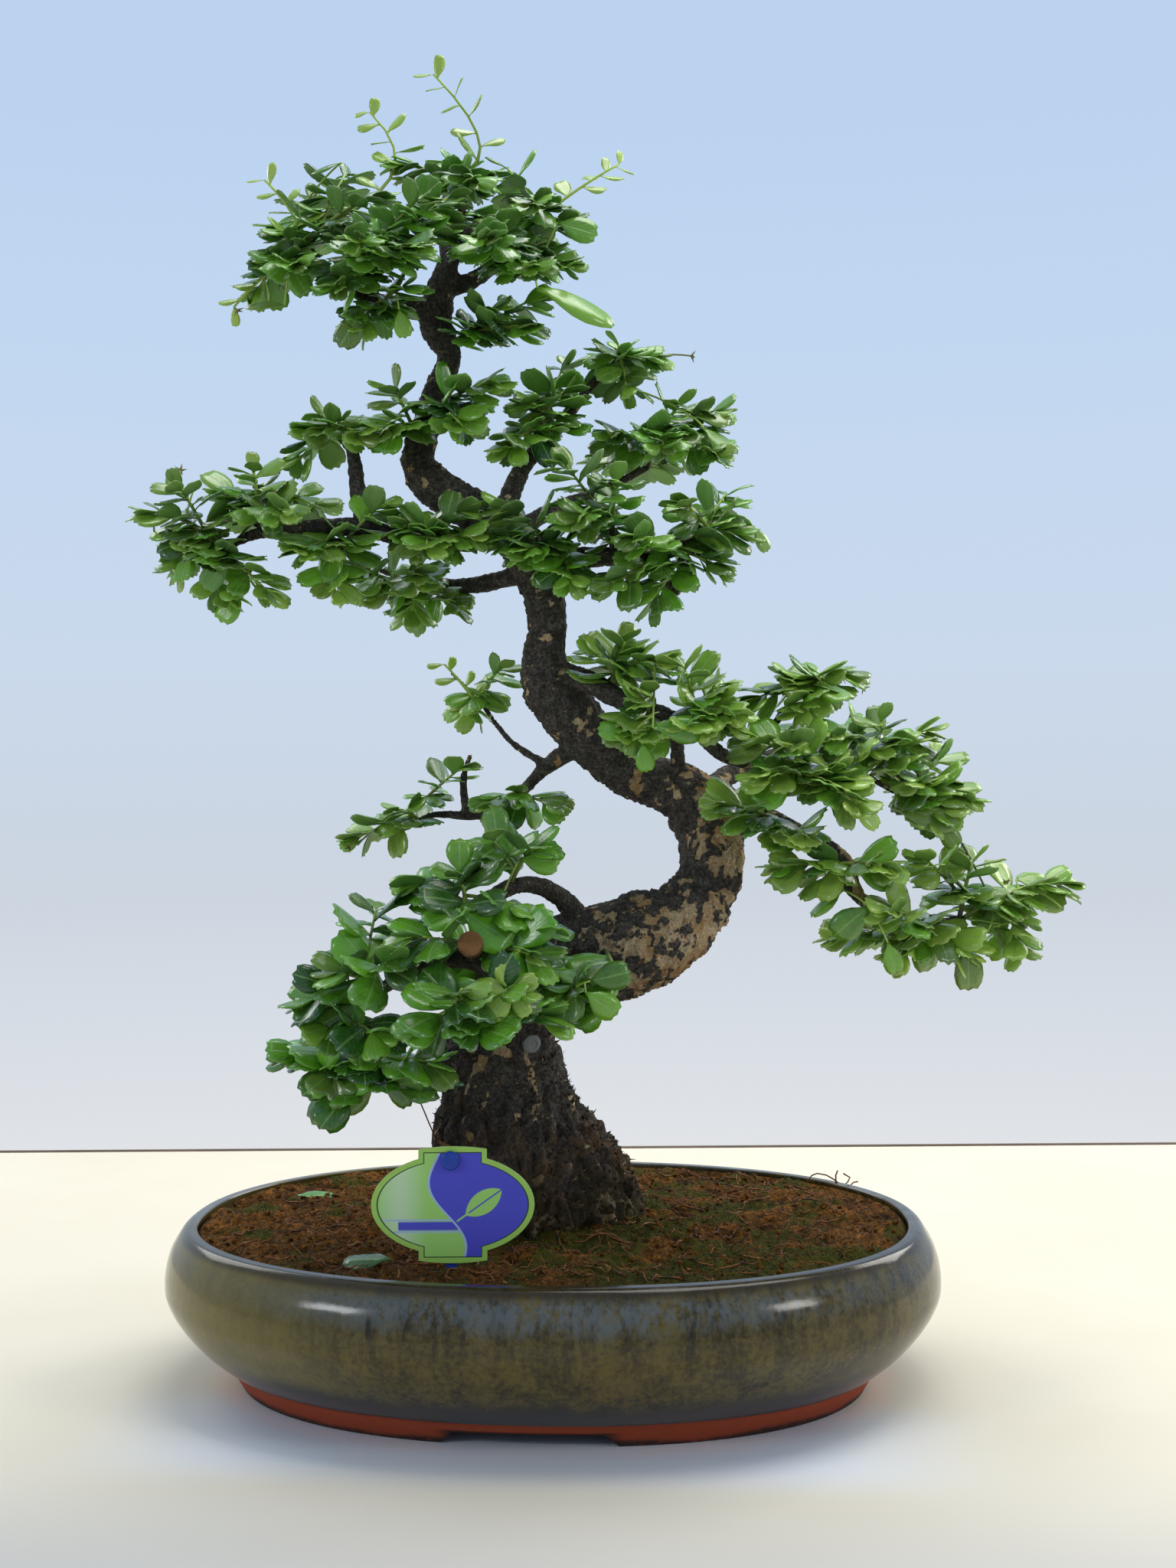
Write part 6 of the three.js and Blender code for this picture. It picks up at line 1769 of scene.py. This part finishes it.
# %% The sawn stub and the healed knot
SAWN_TAN = srgb(160, 112, 66)
SAWN_DARK = srgb(96, 62, 36)
KNOT_GREY = srgb(150, 152, 148)
STUB_END, STUB_BEFORE = (-36, -82, 220), (-33.5, -70, 216)
STUB_RADIUS, STUB_DEPTH = 5.9, 4
STUB_STEPS = [(0.5, 0.25), (1.6, -0.15), (2.4, -0.1)]
KNOT_SEEN = (-10, -44, 170)
KNOT_RADIUS, KNOT_DEPTH = 4.6, 5.2
KNOT_STEPS = [(0.9, 0.7), (0.9, 0.2), (0.8, -0.7)]
stub_end = tree_point(*STUB_END)
stub_heading = stub_end - tree_point(*STUB_BEFORE)
stub = round_end("sawn_stub", stub_end, stub_heading, STUB_RADIUS, STUB_DEPTH, STUB_STEPS)
finish_piece(stub, [end_grain_finish("end_grain", stub_end, stub_heading, SAWN_TAN, SAWN_DARK)])

knot_sight = tree_point(*KNOT_SEEN) - EYE
knot_place, knot_heading, _, _ = wood_tree.ray_cast(EYE, knot_sight)
knot = round_end("healed_knot", knot_place, knot_heading, KNOT_RADIUS, KNOT_DEPTH, KNOT_STEPS)
knot_paint = end_grain_finish("grey_knot", knot_place, knot_heading, KNOT_GREY, BARK_BLACK)
finish_piece(knot, [knot_paint])

# %% [markdown]
# A bit of old thread hangs at the left of the trunk's foot: a thin tube along five points, smoothed
# as the limbs' lines are.

# %% The thread
THREAD = [(-64, -34, 143), (-61, -34, 136), (-58, -32, 128), (-55, -28, 121), (-48, -24, 117)]
THREAD_RADIUS = 0.35
thread_line = [(tree_point(*place), THREAD_RADIUS * MM) for place in smooth_line(THREAD, 4)]
thread = tubes("old_thread", [thread_line], 1)
finish_piece(thread, [litter_finish()])

# %% [markdown]
# Some shoots end in a dry calyx left from a flower: five small pointed lobes round a cup, on a
# thin stalk. One is modelled from a ten-sided circle, with every second point drawn outwards and
# up, and turned to follow each shoot.

# %% Dry stars at the ends of shoots
STAR_TIPS = {
    "left_end": [(-176, -26, 444), (-190, -20, 413)], "small_end": [(-103, 30, 260)],
    "right_rise": [(75, 30, 510)], "low_rise": [(157, -2, 338)], "crown_west": [(-149, -18, 522)],
    "low_tip": [(226, -6, 242)],
}
STAR_SIZE = 4.2
STAR_CUP, STAR_REACH, STAR_RISE, STAR_DEPTH = 0.25, 3.4, 0.28, 0.22
STALK_RADIUS = 0.45


def star_model():
    star = new_piece(bpy.ops.mesh.primitive_circle_add, "star",
                     vertices=10, radius=STAR_CUP, fill_type="NGON")
    for index, vertex in enumerate(star.data.vertices):
        if index % 2:
            vertex.co *= STAR_REACH
            vertex.co.z = STAR_RISE
    open_edit(star)
    extrude((0, 0, -STAR_DEPTH), (0.7, 0.7, 1))
    close_edit()
    return star


def star_finish():
    finish = Finish("dry_calyx")
    mottle = finish.noise(1.4, 3, 0.7)
    return finish.surface(
        finish.mix(mottle, srgb(96, 74, 44), srgb(168, 172, 96)), 0.6 + mottle * 0.2, (mottle, 0.3, 0.7))


star_places, stalks = [], []
for name, ends in STAR_TIPS.items():
    tips = [tree_point(*tip) for tip in shoot_tips(name)]
    for end in ends:
        place = tree_point(*end)
        root = min(tips, key=lambda tip: (tip - place).length)
        line = curve_line(root, place, 0.08, 4)
        stalks.append([(spot, STALK_RADIUS * MM) for spot in line])
        heading = line[-1] - line[-2]
        star_places.append((turned_to(heading, rng, STAR_SIZE, STAR_SIZE), place))
stars = scatter("dry_stars", star_model(), star_places)
star_stalks = tubes("star_stalks", stalks, 1)
star_paint = star_finish()
finish_piece(stars, [star_paint])
finish_piece(star_stalks, [star_paint])

# %% [markdown]
# ## The plant label
#
# A thin printed card, an oval with a flat tab above and below, hangs on the round peg of a blue
# stake. The print here is a plain one of the same colours: a pale border, a curved split between a
# green and a violet field, a small leaf and a bar. The outline is drawn as a circle whose points
# are moved onto it, then extruded, and the rim is softened by a bevel.

# %% Model the card
CARD_MIDDLE = (-45, -84, 102.5)
CARD_LEAN = math.radians(3)
CARD_WIDTH, CARD_HEIGHT, CARD_THICKNESS = 74, 52.5, 0.8
TAB_HALF, TAB_HEIGHT, TAB_DROP = 15.5, 3.5, 1.2
CARD_TURN = TREE_TURN * 0.8
CARD_ROUNDING = 0.16
PEG_OFFSET, PEG_HEIGHT, PEG_GAP = -1, 20, 0.3
HOLE_RADIUS, HOLE_DEPTH = 1.9, 8
label_frame = (Matrix.Translation(tree_point(*CARD_MIDDLE)) @ Matrix.Rotation(CARD_TURN, 4, "Z")
               @ Matrix.Rotation(math.pi / 2 - CARD_LEAN, 4, "X"))


def card_outline():
    half_height = CARD_HEIGHT / 2 - TAB_HEIGHT
    first = math.acos(TAB_HALF / (CARD_WIDTH / 2))
    side = [first * (1 - step / 20) for step in range(41)]
    right = [(CARD_WIDTH / 2 * math.cos(turn), half_height * math.sin(turn)) for turn in side]
    shares = [step / 8 for step in range(-8, 9)]
    tab = [(TAB_HALF * share, CARD_HEIGHT / 2 - TAB_DROP * share ** 2) for share in shares]
    half = tab + right
    return half + [(-x, -y) for x, y in half]


def place_label(piece):
    """Takes a piece drawn flat in millimetres, face up, to where the label stands."""
    bpy.context.view_layer.update()
    piece.matrix_world = label_frame @ Matrix.Scale(MM, 4) @ piece.matrix_world
    set_in_place(piece)


outline = card_outline()
card = new_piece(bpy.ops.mesh.primitive_circle_add, "printed_card",
                 vertices=len(outline), radius=1, fill_type="NGON")
for vertex, (x, y) in zip(card.data.vertices, outline):
    vertex.co = (x, y, 0)
open_edit(card)
extrude((0, 0, CARD_THICKNESS))
close_edit()
cut(card, new_piece(bpy.ops.mesh.primitive_cylinder_add, "hole", vertices=32, radius=HOLE_RADIUS,
                    depth=HOLE_DEPTH, location=(PEG_OFFSET, PEG_HEIGHT, 0)))
modify(card, "BEVEL", width=CARD_ROUNDING, segments=2, limit_method="ANGLE")
for name, values in zip(("card_x", "card_y", "card_z"), vertex_array(card.data).T):
    set_attribute(card.data, name, values)
place_label(card)
print("points round the card's outline:", len(outline))

# %% [markdown]
# The print is worked out from two attributes, the distance right and up from the card's middle, and
# a third that tells the printed face from the plain back. A line is a band where a value is near
# zero, and a leaf is the overlap of two circles.

# %% The print on the card
CARD_GREEN = srgb(170, 226, 112)
CARD_PALE = srgb(206, 236, 184)
CARD_BORDER = srgb(170, 216, 98)
CARD_VIOLET = srgb(80, 80, 208)
CARD_LINE = srgb(40, 66, 44)
CARD_LIGHT = srgb(176, 202, 232)
CARD_BACK = srgb(206, 212, 196)
PRINT_HALF_WIDTH, PRINT_HALF_HEIGHT = 34.2, 20.2
PRINT_TAB_HALF, PRINT_TAB_TOP = 13, 23.4
BAR_Y, BAR_HALF = -9.5, 2.4
LEAF_X, LEAF_Y = 14, 1
LEAF_COSINE, LEAF_SINE = 0.82, 0.57
LEAF_ARC_MIDDLE, LEAF_ARC_RADIUS = 7.5, 12.5


def card_finish():
    finish = Finish("printed_card")
    x, y = finish.attribute("card_x"), finish.attribute("card_y")

    def size(value):
        return finish.math("ABSOLUTE", value)

    def greater(first, second):
        return finish.math("MAXIMUM", first, second)

    def near(value, width):
        return 1 - finish.step(size(value), width * 0.6, width)

    oval = ((x * x) * (1 / PRINT_HALF_WIDTH ** 2) + (y * y) * (1 / PRINT_HALF_HEIGHT ** 2)) ** 0.5
    oval_depth = (1 - oval) * 24
    tab_depth = finish.math("MINIMUM", PRINT_TAB_HALF - size(x), PRINT_TAB_TOP - size(y))
    depth = greater(oval_depth, tab_depth)
    field = finish.step(depth, -0.15, 0.15)
    wave = finish.math("SINE", y * 0.13 + 0.6)
    split = x + wave * 5.5 + y * 0.22 + 3.5
    violet = finish.step(split, -0.2, 0.2)
    pale = finish.step(size(x + 24), 0.0, 14.0)
    colour = finish.mix(pale, CARD_PALE, CARD_GREEN)
    bar = near(y - BAR_Y, BAR_HALF) * (1 - violet) * finish.step(x + 25, 0, 0.6)
    colour = finish.mix(bar, colour, CARD_VIOLET)
    edges = near(size(y - BAR_Y) - (BAR_HALF + 0.2), 0.45)
    colour = finish.mix(edges * (1 - violet), colour, CARD_LIGHT)
    colour = finish.mix(violet, colour, CARD_VIOLET)
    colour = finish.mix(near(split, 0.7), colour, CARD_LIGHT)
    leaf_x = (x - LEAF_X) * LEAF_COSINE + (y - LEAF_Y) * LEAF_SINE
    leaf_y = (y - LEAF_Y) * LEAF_COSINE - (x - LEAF_X) * LEAF_SINE
    upper, lower = [(leaf_x * leaf_x + rise * rise) ** 0.5
                    for rise in (leaf_y + LEAF_ARC_MIDDLE, leaf_y - LEAF_ARC_MIDDLE)]
    leaf = 1 - finish.step(greater(upper, lower), LEAF_ARC_RADIUS - 0.2, LEAF_ARC_RADIUS + 0.2)
    vein = near(leaf_y, 0.4) * finish.step(leaf_x, -9.5, -9)
    stalk = near(leaf_y, 0.5) * near(leaf_x + 11.5, 4)
    colour = finish.mix(greater(leaf * (1 - vein), stalk) * violet, colour, CARD_GREEN)
    colour = finish.mix(field, CARD_BORDER, colour)
    colour = finish.mix(near(depth, 0.28), colour, CARD_LINE)
    front = finish.step(finish.attribute("card_z"), 0.55, 0.7)
    colour = finish.mix(front, CARD_BACK, colour)
    grain = finish.noise(1.6, 2, 0.6)
    scuff = finish.noise(11, 4, 0.7)
    return finish.surface(colour, 0.32 + scuff * 0.2, (grain * 0.3 + scuff, 0.12, 0.5))


finish_piece(card, [card_finish()], ["label_card"])

# %% [markdown]
# The stake is a flat moulded blade with a point, and its peg has a broad low head that snaps
# through the card. It is a slightly see-through blue in life, but reads as a deep solid one.

# %% The stake and its peg
STAKE_WIDTH, STAKE_THICKNESS = 5, 2.2
STAKE_TOP, STAKE_FOOT, STAKE_POINT = 24, -62, 14
POINT_WIDTH, POINT_THICKNESS = 0.32, 0.6
PEG_RADIUS, PEG_LENGTH, PEG_MIDDLE = 1.6, 2.6, 0.4
PEG_HEAD = [(0, 2.7), (0.9, 1.0), (0.6, 0.9)]


def stake_blade():
    height = STAKE_TOP - STAKE_FOOT - STAKE_POINT
    middle = (STAKE_TOP + STAKE_FOOT + STAKE_POINT) / 2
    behind = -PEG_GAP - STAKE_THICKNESS / 2
    blade = new_piece(bpy.ops.mesh.primitive_cube_add, "blue_stake",
                      size=1, location=(PEG_OFFSET, middle, behind))
    blade.scale = (STAKE_WIDTH, height, STAKE_THICKNESS)
    set_in_place(blade)
    open_edit(blade, lambda face: face.normal.y < -0.9)
    extrude((0, -STAKE_POINT, 0), (POINT_WIDTH, 1, POINT_THICKNESS), (PEG_OFFSET, STAKE_FOOT, behind))
    bpy.ops.object.mode_set(mode="OBJECT")
    return blade


def peg():
    shaft = new_piece(bpy.ops.mesh.primitive_cylinder_add, "peg", vertices=32, radius=PEG_RADIUS,
                      depth=PEG_LENGTH, location=(PEG_OFFSET, PEG_HEIGHT, PEG_MIDDLE))
    open_edit(shaft, faces_up)
    for rise, wider in PEG_HEAD:
        extrude((0, 0, rise), (wider, wider, 1), (PEG_OFFSET, PEG_HEIGHT, 0))
    bpy.ops.object.mode_set(mode="OBJECT")
    return shaft


stake = stake_blade()
head = peg()
take(stake)
head.select_set(True)
bpy.ops.object.join()
modify(stake, "BEVEL", width=0.3, segments=3, limit_method="ANGLE")
place_label(stake)
bpy.ops.object.shade_smooth_by_angle(angle=math.radians(35))


def plastic_finish(name, light, dark, roughness):
    finish = Finish(name)
    grain = finish.noise(0.8, 2, 0.5)
    wear = finish.noise(6, 4, 0.7)
    return finish.surface(
        finish.mix(wear, dark, light), roughness + wear * 0.15, (grain * 0.6 + wear, 0.1, 0.5))


finish_piece(stake, [plastic_finish("blue_plastic", srgb(36, 86, 190), srgb(22, 44, 150), 0.22)],
             ["label_stake"])

# %% [markdown]
# The two meshes over the drain holes keep their CAD solids, which already have the openings, and
# only get the matt black plastic they are moulded in.

# %% The drain meshes
mesh_plastic = plastic_finish("black_mesh", srgb(44, 44, 46), srgb(24, 24, 26), 0.5)
for name in ("drain_mesh_left", "drain_mesh_right"):
    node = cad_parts[name]
    node.data.materials.clear()
    node.data.materials.append(mesh_plastic)
    print(name, "keeps", len(node.data.polygons), "faces")
